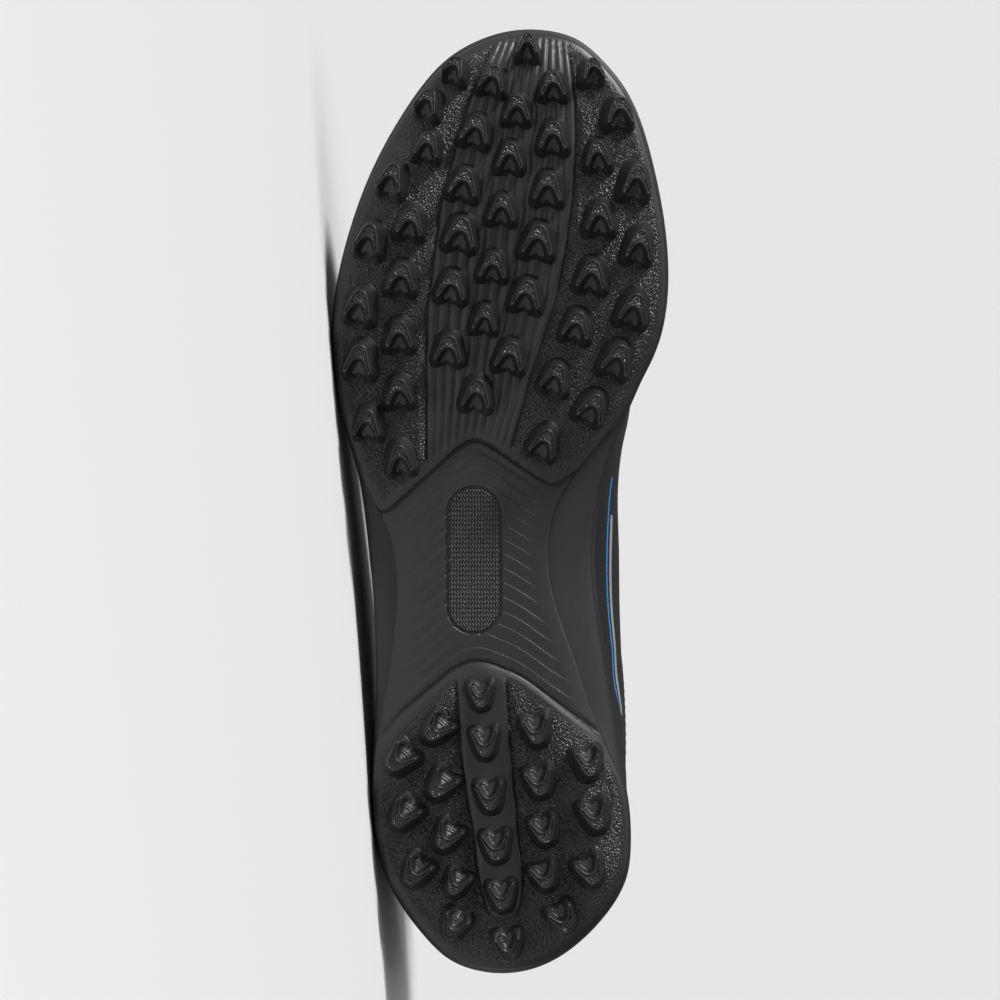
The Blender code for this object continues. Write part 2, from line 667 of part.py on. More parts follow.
def make_midsole(material):
    solid = Solid()
    turns = loop_turns()
    rim = outline(turns, 0)
    side = outline(turns, 1)
    foot = foot_loop(turns)

    def bottom(points):
        return deck(points, rim) + PAD_STEP + SHEET + FIT_GAP

    edge = rim - inward(rim) * 0.0004
    edge_z = bottom(rim)
    first = solid.add(np.column_stack([edge, edge_z]))
    inner = across_points(solid, rim, EDGE_SHARES, bottom)
    solid.rungs(first, inner)
    rim_z = rim_height(turns)
    low = edge + (side - edge) * 0.62 - inward(side) * 0.0002
    bulge = side
    loops = [first]
    for points, share in ((low, 0.16), (bulge, 0.45), (bulge, 0.78)):
        height = edge_z + (rim_z - edge_z) * share
        loops.append(solid.add(np.column_stack([points, height])))
    lip = foot[:, :2] - inward(side) * 0.0007
    loops.append(solid.add(np.column_stack([lip, rim_z])))
    ledge = foot[:, :2] + inward(side) * (UPPER_WALL + 0.0010)
    loops.append(solid.add(np.column_stack([ledge, rim_z])))
    for a, b in zip(loops, loops[1:]):
        solid.band(a, b)
    half = COLUMNS // 2
    inner = []
    for i in range(1, half):
        row = ladder(ledge[i:i + 1], ledge[-i][None, :], FLAT_SHARES)[0]
        inner.append(solid.add(np.column_stack([row, foot_bed(row)])))
    solid.rungs(loops[-1], inner, flip=True)
    return solid.build("midsole", material)


def foot_bed(points):
    """Height of the midsole's top under the foot, dished a little below the rim."""
    along = points[:, 0] / LENGTH
    return SOLE_HEIGHT * level(along, 2) - 0.0008


def make_insole(material):
    solid = Solid()
    turns = loop_turns()
    foot = foot_loop(turns)
    ledge = foot[:, :2] + inward(outline(turns, 1)) * (UPPER_WALL + 0.0010)
    loop = ledge + inward(ledge) * 0.0004
    low_z = rim_height(turns) + FIT_GAP
    low = solid.add(np.column_stack([loop, low_z]))
    half = COLUMNS // 2

    def rows_at(lift):
        rows = []
        for i in range(1, half):
            flat = ladder(loop[i:i + 1], loop[-i][None, :], FLAT_SHARES)[0]
            ends = ladder(ledge[i:i + 1], ledge[-i][None, :], FLAT_SHARES)[0]
            rows.append(solid.add(np.column_stack([flat, foot_bed(ends) + FIT_GAP + lift])))
        return rows

    solid.rungs(low, rows_at(0.0))
    high = solid.add(np.column_stack([loop, low_z + INSOLE_THICK]))
    solid.band(low, high)
    solid.rungs(high, rows_at(INSOLE_THICK), flip=True)
    return solid.build("insole", material)


def upper_controls(turns):
    """The four control points of the wall's curve at each turn round the foot."""
    rows = list(UPPER_LATERAL)
    knots = [turn_of(row[0]) for row in rows] + [2.0 - turn_of(row[0]) for row in UPPER_MEDIAL[::-1]]
    table = [row[1:] for row in rows] + [row[1:] for row in UPPER_MEDIAL[::-1]]
    sides = [-1.0] * len(rows) + [1.0] * len(UPPER_MEDIAL)
    table = np.array(table, float)
    table[:, 6] *= np.array(sides)
    values = loop_spline(np.array(knots, float), table, turns)
    foot = foot_loop_at(turns)
    out = -inward_at(turns)
    edge = values[:, :3] * (LENGTH, BALL_WIDTH, HEEL_HEIGHT)
    leave = foot.copy()
    leave[:, :2] += out * (values[:, 3] * HEEL_HEIGHT)[:, None]
    leave[:, 2] += values[:, 4] * HEEL_HEIGHT
    arrive = edge + np.column_stack([values[:, 5], values[:, 6], -values[:, 7]]) * HEEL_HEIGHT
    return foot, leave, arrive, edge


def inward_at(turns):
    """Inward directions of the midsole's outline at any turns."""
    turns = np.atleast_1d(turns)
    step = 1.0 / COLUMNS
    tangent = outline(turns + step, 1) - outline(turns - step, 1)
    normal = np.column_stack([-tangent[:, 1], tangent[:, 0]])
    return normal / np.linalg.norm(normal, axis=1)[:, None]


def foot_loop_at(turns):
    turns = np.atleast_1d(turns)
    points = outline(turns, 1) + inward_at(turns) * 0.0022
    return np.column_stack([points, rim_height(turns) + FIT_GAP])


def upper_surface(turns, shares):
    """Points of the upper's outer surface: share 0 is the foot and share 1 is the top edge."""
    turns = np.atleast_1d(np.asarray(turns, float))
    shares = np.broadcast_to(np.atleast_1d(np.asarray(shares, float)), turns.shape)
    foot, leave, arrive, edge = upper_controls(turns)
    s = shares[:, None]
    rest = 1.0 - s
    return (foot * rest ** 3 + leave * 3.0 * rest ** 2 * s
            + arrive * 3.0 * rest * s ** 2 + edge * s ** 3)


def upper_normal(turns, shares):
    """Unit normals of the outer surface, pointing out of the shoe."""
    turns = np.atleast_1d(np.asarray(turns, float))
    shares = np.broadcast_to(np.atleast_1d(np.asarray(shares, float)), turns.shape)
    step = 0.004
    around = upper_surface(turns + step, shares) - upper_surface(turns - step, shares)
    up = upper_surface(turns, shares + 0.01) - upper_surface(turns, shares - 0.01)
    normal = np.cross(around, up)
    return normal / np.linalg.norm(normal, axis=1)[:, None]


def band_share(turns):
    """Share of the wall's curve where the eyestay and collar band starts."""
    _, _, arrive, edge = upper_controls(turns)
    speed = 3.0 * np.linalg.norm(edge - arrive, axis=1)
    return 1.0 - np.clip(BAND_WIDTH / speed, 0.08, 0.36)


def make_upper(material):
    solid = Solid()
    turns = loop_turns()
    start = band_share(turns)
    # share of the wall's curve up to the band, or of the band itself, its lift, inner row or not
    rows = [(start * share, 0.0, lined) for share, lined in
            ((0.0, True), (0.12, True), (0.28, False), (0.50, True), (0.75, True), (0.97, False))]
    rows += [(start + (1.0 - start) * share, BAND_STEP * lift, lined) for share, lift, lined in
             ((0.0, 1.0, True), (0.50, 1.0, True), (0.88, 1.0, False), (1.0, 0.3, True))]
    outer, inner = [], []
    for shares, lift, lined in rows:
        points = upper_surface(turns, shares)
        normal = upper_normal(turns, shares)
        if shares.max() == 0.0:
            normal[:, 2] = 0.0
            normal /= np.linalg.norm(normal, axis=1)[:, None]
        outer.append(solid.add(points + normal * lift))
        pad = np.clip((shares - start) / (1.0 - start), 0.0, 1.0)
        ankle = np.clip(1.0 - np.abs(along_of(turns) - 0.16) / 0.22, 0.0, 1.0)
        wall = UPPER_WALL + COLLAR_PAD * np.sin(pad * math.pi * 0.8) * ankle
        if lined:
            inner.append(solid.add(points - normal * wall[:, None]))
    solid.band(inner[0], outer[0])
    for a, b in zip(outer, outer[1:]):
        solid.band(a, b)
    solid.band(outer[-1], inner[-1])
    for a, b in zip(inner, inner[1:]):
        solid.band(b, a)
    body = solid.build("upper", material)
    cutter = eyelet_cutter()
    holes = body.modifiers.new("eyelets", "BOOLEAN")
    holes.operation = "DIFFERENCE"
    holes.solver = "EXACT"
    holes.object = cutter
    return body, cutter


def eyelet_turns():
    """Places of the eyelets round the foot, from the front of the throat up, lateral side."""
    along = np.linspace(0.815, 0.490, EYELETS)
    return turn_of(along)


def eyelet_frames():
    """Centre and outward normal of each eyelet: lateral side, then medial."""
    frames = []
    for mirror in (False, True):
        turns = 2.0 - eyelet_turns() if mirror else eyelet_turns()
        _, _, arrive, edge = upper_controls(turns)
        speed = 3.0 * np.linalg.norm(edge - arrive, axis=1)
        shares = 1.0 - EYELET_INSET / speed
        frames.append((upper_surface(turns, shares), upper_normal(turns, shares)))
    return frames


def eyelet_cutter():
    solid = Solid()
    for centres, normals in eyelet_frames():
        for centre, normal in zip(centres, normals):
            frame = Vector(normal).to_track_quat("Z", "Y").to_matrix()
            rings = []
            for lift in (-0.006, 0.004):
                ring = []
                for i in range(10):
                    angle = 2.0 * math.pi * i / 10
                    spot = Vector((math.cos(angle), math.sin(angle), 0.0)) * EYELET_BORE * 0.5
                    spot.z = lift
                    ring.append(Vector(centre) + frame @ spot)
                rings.append(solid.add(ring))
            solid.band(rings[0], rings[1])
            solid.faces.append(tuple(rings[0][::-1]))
            solid.faces.append(tuple(rings[1]))
    cutter = solid.build("eyelet_cutter", make_material("cutter", (0.5, 0.5, 0.5), 0.5))
    cutter.hide_render = True
    cutter.display_type = "WIRE"
    return cutter


def throat_curve(along, side, crown, depth):
    """Points across under the upper: side, band and edge of each side, and the crown between."""
    turn = float(turn_of(along))
    turns = np.array([turn] * 3 + [2.0 - turn] * 3)
    shares = np.array([side, (side + 1.0) / 2.0, 1.0, 1.0, (side + 1.0) / 2.0, side])
    points = upper_surface(turns, shares) - upper_normal(turns, shares) * depth
    middle = (points[2] + points[3]) / 2.0
    rise = np.cross(points[3] - points[2], TONGUE_LINE)
    rise /= np.linalg.norm(rise)
    if rise[2] < 0.0:
        rise = -rise
    return np.vstack([points[:3], middle + rise * crown, points[3:]])


TONGUE_LINE = np.array([-0.80, 0.0, 0.60])


def tongue_sections():
    """Cross curves of the tongue's top surface with their thickness, front to top."""
    sections = []
    depth = UPPER_WALL + TONGUE_GAP
    for *spots, middle, thick in TONGUE_FRONT:
        turns = turn_of(spots[0::2])
        shares = np.array(spots[1::2])
        turns = np.concatenate([turns, [1.0], 2.0 - turns[::-1]])
        shares = np.concatenate([shares, [middle], shares[::-1]])
        curve = upper_surface(turns, shares) - upper_normal(turns, shares) * depth
        sections.append((curve, thick * TONGUE_THICK))
    for along, side, crown, thick in TONGUE_UNDER:
        curve = throat_curve(along, side, crown * TONGUE_THICK, depth)
        sections.append((curve, thick * TONGUE_THICK))
    down = np.array([TONGUE_LINE[2], 0.0, -TONGUE_LINE[0]])
    shares = np.array([-1.0, -0.72, -0.42, 0.0, 0.42, 0.72, 1.0])[:, None]
    for along, height, half, droop, thick in TONGUE_FREE:
        middle = np.array([along * LENGTH, 0.021 * BALL_WIDTH, height * HEEL_HEIGHT])
        curve = middle + shares * (0.0, half * BALL_WIDTH, 0.0)
        curve = curve - shares ** 2 * down * droop * HEEL_HEIGHT
        sections.append((curve, thick * TONGUE_THICK))
    return sections


def make_tongue(material):
    solid = Solid()
    sections = tongue_sections()
    curves = np.array([curve for curve, _ in sections])
    thick = np.array([value for _, value in sections])
    knots = np.linspace(0.0, 1.0, len(sections))
    rows = np.linspace(0.0, 1.0, 17)
    curves = natural_spline(knots, curves, rows)
    thick = natural_spline(knots, thick, rows)
    across = np.linspace(0.0, 1.0, 7)
    steps = np.linspace(0.0, 1.0, 9)
    grid = np.array([natural_spline(across, curve, steps) for curve in curves])
    along = np.gradient(grid, axis=0)
    aside = np.gradient(grid, axis=1)
    normal = np.cross(along, aside)
    normal /= np.linalg.norm(normal, axis=2)[:, :, None]
    if normal[:, :, 2].mean() < 0.0:
        normal = -normal
    taper = np.ones(len(steps))
    taper[[0, -1]] = 0.5
    depth = thick[:, None] * taper[None, :]
    depth[0] *= 0.7
    depth[-1] *= 0.6
    under = grid - normal * depth[:, :, None]
    shape = grid.shape[:2]
    top = np.array(solid.add(grid.reshape(-1, 3))).reshape(shape)
    low = np.array(solid.add(under.reshape(-1, 3))).reshape(shape)
    for i in range(shape[0] - 1):
        for j in range(shape[1] - 1):
            solid.faces.append((top[i, j], top[i + 1, j], top[i + 1, j + 1], top[i, j + 1]))
            solid.faces.append((low[i, j], low[i, j + 1], low[i + 1, j + 1], low[i + 1, j]))
    ring_top = list(top[0, :]) + list(top[1:, -1]) + list(top[-1, -2::-1]) + list(top[-2:0:-1, 0])
    ring_low = list(low[0, :]) + list(low[1:, -1]) + list(low[-1, -2::-1]) + list(low[-2:0:-1, 0])
    solid.band([int(i) for i in ring_low], [int(i) for i in ring_top])
    return solid.build("tongue", material)


def lace_surface(places):
    """Points and normals over the throat. The first number counts eyelets from the front, and the
    second goes from -1 at the lateral eyelets to 1 at the medial ones."""
    count = np.linspace(0.0, EYELETS - 1.0, EYELETS)
    frames = eyelet_frames()
    lift = BAND_STEP + FIT_GAP + 0.0004
    turns = eyelet_turns()
    lateral = frames[0][0] + frames[0][1] * lift
    medial = frames[1][0] + frames[1][1] * lift
    edges = []
    for side in (turns, 2.0 - turns):
        edges.append(upper_surface(side, 1.0) + upper_normal(side, 1.0) * (lift + 0.0003))
    sections = []
    for i, turn in enumerate(turns):
        along = float(along_of(turn))
        crown = float(np.interp(-along, [-row[0] for row in TONGUE_UNDER],
                                [row[2] for row in TONGUE_UNDER]))
        curve = throat_curve(along, 0.8, crown * TONGUE_THICK, UPPER_WALL + TONGUE_GAP)
        rise = np.cross(curve[4] - curve[2], TONGUE_LINE)
        rise *= math.copysign(1.0, rise[2]) / np.linalg.norm(rise)
        middle = curve[3] + rise * 0.0012
        inner = middle * 0.5 + (edges[0][i] + edges[1][i]) * 0.25
        middle = np.where(inner[2] > middle[2], inner, middle)
        sections.append(np.array([lateral[i], edges[0][i], middle, edges[1][i], medial[i]]))
    sections = np.array(sections)
    places = np.asarray(places, float)
    rows = natural_spline(count, sections, np.clip(places[:, 0], -0.6, EYELETS - 0.4))
    knots = (-1.0, -0.6, 0.0, 0.6, 1.0)
    return np.array([natural_spline(knots, row, [v])[0] for row, v in zip(rows, places[:, 1])])


# One step of the lace surface's two numbers, in metres.
LACE_SCALE = np.array([0.0125, 0.0200])


def strap_end(place, width):
    """Corners of the rounded end of a strap over an eyelet."""
    angles = (np.arange(8) + 0.5) * math.pi / 4.0
    ring = np.column_stack([np.cos(angles), np.sin(angles)]) * width * 0.5 / LACE_SCALE
    return [tuple(spot) for spot in np.array(place, float) + ring]


def strap(start, end, width, steps):
    """Corners of a straight band between two places, in the lace surface's own numbers."""
    start, end = np.array(start, float), np.array(end, float)
    line = end - start
    scale = LACE_SCALE
    real = line * scale
    side = np.array([-real[1], real[0]]) / np.linalg.norm(real) * width * 0.5 / scale
    left = [tuple(start + line * i / steps + side) for i in range(steps + 1)]
    right = [tuple(start + line * i / steps - side) for i in range(steps + 1)]
    return left + right[::-1]


def make_laces(material):
    solid = Solid()
    straps = [strap((0.0, -1.0), (0.0, 1.0), LACE_WIDTH, 4)]
    for i in range(EYELETS - 1):
        straps.append(strap((i, -1.0), (i + 1, 1.0), LACE_WIDTH, 4))
        straps.append(strap((i, 1.0), (i + 1, -1.0), LACE_WIDTH, 4))
    for i in range(EYELETS):
        straps += [strap_end((i, side), LACE_WIDTH * 1.06) for side in (-1.0, 1.0)]
    spots, edges = [], []
    for band in straps:
        first = len(spots)
        spots += band
        edges += [(first + i, first + (i + 1) % len(band)) for i in range(len(band))]
    result = delaunay_2d_cdt([Vector(spot) for spot in spots], edges, [], 0, 1e-4)
    points = np.array([tuple(spot) for spot in result[0]])
    middles = np.array([np.mean(points[list(face)], axis=0) for face in result[2]])
    keep = np.zeros(len(middles), bool)
    for band in straps:
        keep |= inside_loop(middles, np.array(band))
    faces = [face for face, ok in zip(result[2], keep) if ok]
    used = sorted({i for face in faces for i in face})
    flat = points[used]
    low = lace_surface(flat)
    step = 0.01
    along = lace_surface(flat + (step, 0.0)) - lace_surface(flat - (step, 0.0))
    aside = lace_surface(flat + (0.0, step)) - lace_surface(flat - (0.0, step))
    normal = np.cross(along, aside)
    normal /= np.linalg.norm(normal, axis=1)[:, None]
    if normal[:, 2].mean() < 0.0:
        normal = -normal
    bottom = dict(zip(used, solid.add(low)))
    top = dict(zip(used, solid.add(low + normal * LACE_THICK)))
    sides = {}
    for face in faces:
        solid.faces.append(tuple(top[i] for i in face))
        solid.faces.append(tuple(bottom[i] for i in face[::-1]))
        for a, b in zip(face, face[1:] + face[:1]):
            if (b, a) in sides:
                del sides[(b, a)]
            else:
                sides[(a, b)] = True
    for a, b in sides:
        solid.faces.append((bottom[a], bottom[b], top[b], top[a]))
    return solid.build("laces", material)


def lay_on_side(pieces, densities):
    """Matrix that turns the upright shoe on to its lateral side, resting on the floor.

    The shoe's outer hull is tipped on to the face that its centre of mass stands over.
    """
    every = bmesh.new()
    centre, total = Vector(), 0.0
    for body, density in zip(pieces, densities):
        work = bmesh.new()
        work.from_mesh(body.data)
        bmesh.ops.triangulate(work, faces=work.faces)
        middle = Vector()
        for face in work.faces:
            a, b, c = (vert.co for vert in face.verts)
            part = density * a.dot(b.cross(c)) / 6.0
            middle += (a + b + c) / 4.0 * part
            total += part
        centre += middle
        for vert in work.verts:
            every.verts.new(vert.co)
        work.free()
    centre /= total
    hull = bmesh.ops.convex_hull(every, input=every.verts, use_existing_faces=False)
    faces = [item for item in hull["geom"] if isinstance(item, bmesh.types.BMFace)]
    best, down = -1.0, None
    for face in faces:
        face.normal_update()
        normal = face.normal.copy()
        if (face.calc_center_median() - centre).dot(normal) < 0.0:
            normal = -normal
        if normal.y > -0.9 or face.calc_area() < 1e-7:
            continue
        height = (face.verts[0].co - centre).dot(normal)
        foot = centre + normal * height
        margin = min(edge_margin(face, i, foot, normal) for i in range(3))
        if margin > best:
            best, down = margin, normal
    every.free()
    if down is None:
        raise ValueError("no face of the hull holds the shoe on its lateral side")
    up = -down
    back = Vector((-1.0, 0.0, 0.0))
    back = (back - up * back.dot(up)).normalized()
    # The toe points to -X, the medial side up and the shoe's own up to +Y.
    turn = Matrix((back, up.cross(back), up)).to_4x4()
    lowest = min((turn @ vert.co).z for body in pieces for vert in body.data.vertices)
    corners = [turn @ vert.co for body in pieces for vert in body.data.vertices]
    middle_x = (min(c.x for c in corners) + max(c.x for c in corners)) / 2.0
    middle_y = (min(c.y for c in corners) + max(c.y for c in corners)) / 2.0
    return Matrix.Translation((-middle_x, -middle_y, -lowest)) @ turn


def edge_margin(face, index, point, normal):
    """How far a point in the face's plane lies inside one of its edges."""
    corners = [vert.co for vert in face.verts]
    a, b, c = corners[index], corners[(index + 1) % 3], corners[(index + 2) % 3]
    side = (b - a).cross(normal).normalized()
    if side.dot(c - a) < 0.0:
        side = -side
    return side.dot(point - a)


def main():
    clear_scene()
    rubber = make_material("moulded rubber", (0.022, 0.022, 0.024), 0.55)
    foam = make_material("midsole foam", (0.030, 0.030, 0.032), 0.70)
    textile = make_material("coated textile", (0.016, 0.016, 0.018), 0.60)
    lining = make_material("padded textile", (0.020, 0.020, 0.022), 0.85)
    board = make_material("insole foam", (0.060, 0.060, 0.065), 0.90)
    tape = make_material("woven lace", (0.025, 0.025, 0.028), 0.85)
    outsole = make_outsole(rubber)
    midsole = make_midsole(foam)
    upper, cutter = make_upper(textile)
    tongue = make_tongue(lining)
    insole = make_insole(board)
    laces = make_laces(tape)
    pieces = (outsole, midsole, upper, tongue, insole, laces)
    densities = (1.8, 1.8, 1.0, 1.0, 1.0, 1.0)
    place = lay_on_side(pieces, densities)
    root = bpy.data.objects.new("shoe", None)
    bpy.context.scene.collection.objects.link(root)
    root.matrix_world = place
    for body in pieces + (cutter,):
        body.parent = root


main()
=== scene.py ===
"""Looks of a football turf shoe for the right foot, lying on its lateral side.

The shoe is drawn upright first: X runs from the heel end to the toe end, +Y is the medial side and
Z is the height above the stud tips. Every piece is then laid on its side where the frame has it.
"""

import math
from functools import lru_cache

import bmesh
import bpy
import numpy as np
from bpy.props import FloatProperty, PointerProperty, StringProperty
from mathutils import Matrix, Vector
from mathutils.geometry import delaunay_2d_cdt


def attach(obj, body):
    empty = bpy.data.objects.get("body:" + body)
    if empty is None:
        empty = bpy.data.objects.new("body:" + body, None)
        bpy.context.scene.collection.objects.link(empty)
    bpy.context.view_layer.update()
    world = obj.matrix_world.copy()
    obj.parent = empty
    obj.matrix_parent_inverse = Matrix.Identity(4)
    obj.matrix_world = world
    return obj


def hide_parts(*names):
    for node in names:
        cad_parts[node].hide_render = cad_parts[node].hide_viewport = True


bl_info = {
    "name": "Turf shoe looks",
    "version": (1, 0, 0),
    "blender": (4, 5, 0),
    "location": "View3D > Sidebar > Turf shoe",
    "description": "Builds the finished surfaces of a turf shoe round its packed frame",
    "category": "Object",
}

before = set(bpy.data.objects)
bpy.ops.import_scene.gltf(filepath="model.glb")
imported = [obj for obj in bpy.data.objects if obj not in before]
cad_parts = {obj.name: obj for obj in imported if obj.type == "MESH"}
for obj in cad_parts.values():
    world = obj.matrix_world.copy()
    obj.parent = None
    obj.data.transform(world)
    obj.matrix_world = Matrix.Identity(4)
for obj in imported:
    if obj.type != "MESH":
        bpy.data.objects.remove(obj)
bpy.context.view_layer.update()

MM = 0.001

# Sizes of the whole shoe, in metres.
LENGTH = 0.286
BALL_WIDTH = 0.1017
HEEL_HEIGHT = 0.088
SOLE_HEIGHT = 0.027
# The studs' shares are drawn for a foot whose ball is this share of its length.
FOOT_RATIO = 0.3556

# Sizes of the pieces, in metres.
STUD_HEIGHT = 0.0060
PAD_STEP = 0.0016
SHEET = 0.0018
EDGE_RISE = 0.0040
EDGE_REACH = 0.014
FIT_GAP = 0.0003
SOLE_INSET = 0.0015
SOLE_SHRINK = 0.0006
UPPER_OUT = 0.0022
BED_DISH = 0.0008
TONGUE_GAP = 0.0015
UPPER_WALL = 0.0020
COLLAR_PAD = 0.0020
BAND_WIDTH = 0.0150
BAND_STEP = 0.0007
EYELET_BORE = 0.0040
EYELET_INSET = 0.0075
TONGUE_THICK = 0.0030
INSOLE_THICK = 0.0035
LACE_WIDTH = 0.0062
LACE_THICK = 0.0013

# Counts.
COLUMNS = 72
EYELETS = 6
SOLE_POINTS = 360
UPPER_POINTS = 540
INSOLE_POINTS = 240

# Outlines seen from below, a row for each section across the foot. The first column is the share
# of LENGTH from the heel end, and the others are shares of BALL_WIDTH from the centre line.
# along, outsole lateral, outsole medial, midsole lateral, midsole medial
OUTLINES = (
    (0.000, -0.003, -0.003, -0.003, -0.003),
    (0.015, -0.160, 0.156, -0.160, 0.156),
    (0.035, -0.222, 0.233, -0.222, 0.233),
    (0.065, -0.289, 0.311, -0.289, 0.311),
    (0.100, -0.345, 0.365, -0.345, 0.365),
    (0.140, -0.377, 0.379, -0.377, 0.379),
    (0.190, -0.389, 0.366, -0.389, 0.369),
    (0.240, -0.377, 0.309, -0.383, 0.349),
    (0.280, -0.358, 0.262, -0.378, 0.331),
    (0.320, -0.339, 0.225, -0.377, 0.312),
    (0.360, -0.325, 0.185, -0.379, 0.295),
    (0.400, -0.317, 0.149, -0.385, 0.279),
    (0.440, -0.326, 0.134, -0.395, 0.272),
    (0.480, -0.359, 0.148, -0.408, 0.278),
    (0.510, -0.402, 0.182, -0.420, 0.291),
    (0.540, -0.436, 0.240, -0.438, 0.313),
    (0.570, -0.462, 0.313, -0.464, 0.343),
    (0.600, -0.486, 0.374, -0.486, 0.377),
    (0.628, -0.498, 0.411, -0.498, 0.411),
    (0.650, -0.505, 0.442, -0.506, 0.442),
    (0.700, -0.505, 0.483, -0.505, 0.483),
    (0.750, -0.482, 0.490, -0.482, 0.490),
    (0.800, -0.443, 0.477, -0.443, 0.477),
    (0.850, -0.389, 0.450, -0.389, 0.450),
    (0.900, -0.315, 0.411, -0.315, 0.411),
    (0.940, -0.240, 0.358, -0.240, 0.358),
    (0.970, -0.160, 0.288, -0.160, 0.288),
    (0.990, -0.061, 0.217, -0.061, 0.217),
    (1.000, 0.081, 0.081, 0.081, 0.081),
)

# Heights along the foot as shares of SOLE_HEIGHT: the pads' underside on the centre line, the rim
# that the upper stands on, and how far the sole's edge is rounded up as a share of EDGE_RISE.
# along, underside, rim, edge
LEVELS = (
    (0.00, 0.360, 1.000, 1.00),
    (0.06, 0.245, 1.000, 1.00),
    (0.12, 0.230, 0.985, 1.00),
    (0.26, 0.230, 0.915, 0.90),
    (0.36, 0.285, 0.850, 0.55),
    (0.45, 0.345, 0.790, 0.45),
    (0.54, 0.270, 0.720, 0.70),
    (0.62, 0.230, 0.680, 1.00),
    (0.72, 0.230, 0.670, 1.00),
    (0.80, 0.262, 0.700, 1.00),
    (0.90, 0.395, 0.810, 1.00),
    (1.00, 0.600, 0.990, 1.00),
)

# Ends of the two pads towards the waist, as points across the foot: the first number is a share of
# LENGTH and the second a share of BALL_WIDTH.
FOREFOOT_PAD_END = (
    (0.515, -0.520), (0.510, -0.418), (0.493, -0.380), (0.489, -0.352), (0.501, -0.310),
    (0.559, -0.130), (0.567, -0.084), (0.563, -0.045), (0.519, 0.140), (0.518, 0.164),
    (0.531, 0.212), (0.545, 0.300), (0.550, 0.520),
)
HEEL_PAD_END = (
    (0.205, -0.520), (0.241, -0.376), (0.273, -0.307), (0.326, -0.128), (0.331, -0.068),
    (0.315, 0.050), (0.283, 0.170), (0.252, 0.290), (0.220, 0.350), (0.175, 0.520),
)

# Stud columns, toe to heel. Shares of LENGTH and of BALL_WIDTH for the centres, then each stud's
# width and length as shares of BALL_WIDTH, and the turn at the two ends of the column. A turn is in
# degrees towards the medial side.
# name, along, across, widths, lengths, turns
FOREFOOT_STUDS = (
    ("middle", (0.976, 0.912, 0.862, 0.807, 0.747, 0.692, 0.613),
     (0.072, 0.042, 0.021, -0.003, -0.030, -0.054, -0.078),
     (0.089, 0.105, 0.108, 0.108, 0.110, 0.100, 0.120),
     (0.098, 0.119, 0.125, 0.123, 0.120, 0.120, 0.136), (2, 6)),
    ("middle lateral", (0.943, 0.890, 0.834, 0.782, 0.726, 0.660),
     (-0.030, -0.081, -0.116, -0.125, -0.152, -0.161),
     (0.109, 0.117, 0.117, 0.127, 0.119, 0.116),
     (0.117, 0.130, 0.131, 0.140, 0.130, 0.127), (13, 6)),
    ("middle medial", (0.937, 0.883, 0.829, 0.774, 0.717, 0.653),
     (0.149, 0.149, 0.134, 0.104, 0.069, 0.021),
     (0.103, 0.116, 0.118, 0.128, 0.119, 0.119),
     (0.114, 0.131, 0.135, 0.144, 0.133, 0.131), (0, 11)),
    ("outer lateral", (0.952, 0.917, 0.838, 0.775, 0.706, 0.649, 0.583),
     (-0.135, -0.214, -0.322, -0.389, -0.418, -0.418, -0.394),
     (0.092, 0.096, 0.104, 0.108, 0.114, 0.116, 0.108),
     (0.096, 0.112, 0.132, 0.136, 0.140, 0.142, 0.130), (24, 4)),
    ("inner lateral", (0.873, 0.793, 0.735, 0.675, 0.615, 0.5455),
     (-0.220, -0.274, -0.301, -0.307, -0.307, -0.304),
     (0.100, 0.110, 0.117, 0.111, 0.110, 0.106),
     (0.120, 0.131, 0.132, 0.129, 0.124, 0.130), (12, -6)),
    ("outer medial", (0.951, 0.908, 0.836, 0.769, 0.703, 0.650, 0.600),
     (0.258, 0.336, 0.386, 0.398, 0.383, 0.334, 0.262),
     (0.091, 0.112, 0.114, 0.110, 0.118, 0.118, 0.112),
     (0.100, 0.126, 0.142, 0.140, 0.142, 0.142, 0.132), (-8, 24)),
    ("inner medial", (0.864, 0.798, 0.738, 0.685, 0.630, 0.5625),
     (0.281, 0.287, 0.263, 0.218, 0.155, 0.122),
     (0.102, 0.115, 0.121, 0.114, 0.112, 0.110),
     (0.123, 0.134, 0.135, 0.127, 0.128, 0.130), (-2, 20)),
)
HEEL_STUDS = (
    ("middle", (0.295, 0.245, 0.189, 0.136, 0.084, 0.033),
     (-0.066, -0.054, -0.039, -0.021, -0.003, 0.014),
     (0.103, 0.110, 0.113, 0.116, 0.112, 0.108),
     (0.116, 0.127, 0.130, 0.128, 0.122, 0.114), (176, 172)),
    ("inner lateral", (0.260, 0.201, 0.1465, 0.0975), (-0.197, -0.185, -0.167, -0.137),
     (0.110, 0.110, 0.108, 0.100), (0.126, 0.126, 0.122, 0.110), (222, 205)),
    ("outer lateral", (0.228, 0.170, 0.110, 0.054), (-0.300, -0.290, -0.254, -0.143),
     (0.112, 0.113, 0.112, 0.108), (0.124, 0.126, 0.124, 0.112), (222, 205)),
    ("inner medial", (0.258, 0.204, 0.153, 0.105), (0.098, 0.107, 0.122, 0.122),
     (0.112, 0.114, 0.110, 0.106), (0.122, 0.122, 0.118, 0.114), (170, 162)),
    ("outer medial", (0.223, 0.168, 0.110, 0.062), (0.247, 0.270, 0.256, 0.176),
     (0.114, 0.116, 0.112, 0.108), (0.126, 0.128, 0.120, 0.116), (170, 150)),
)

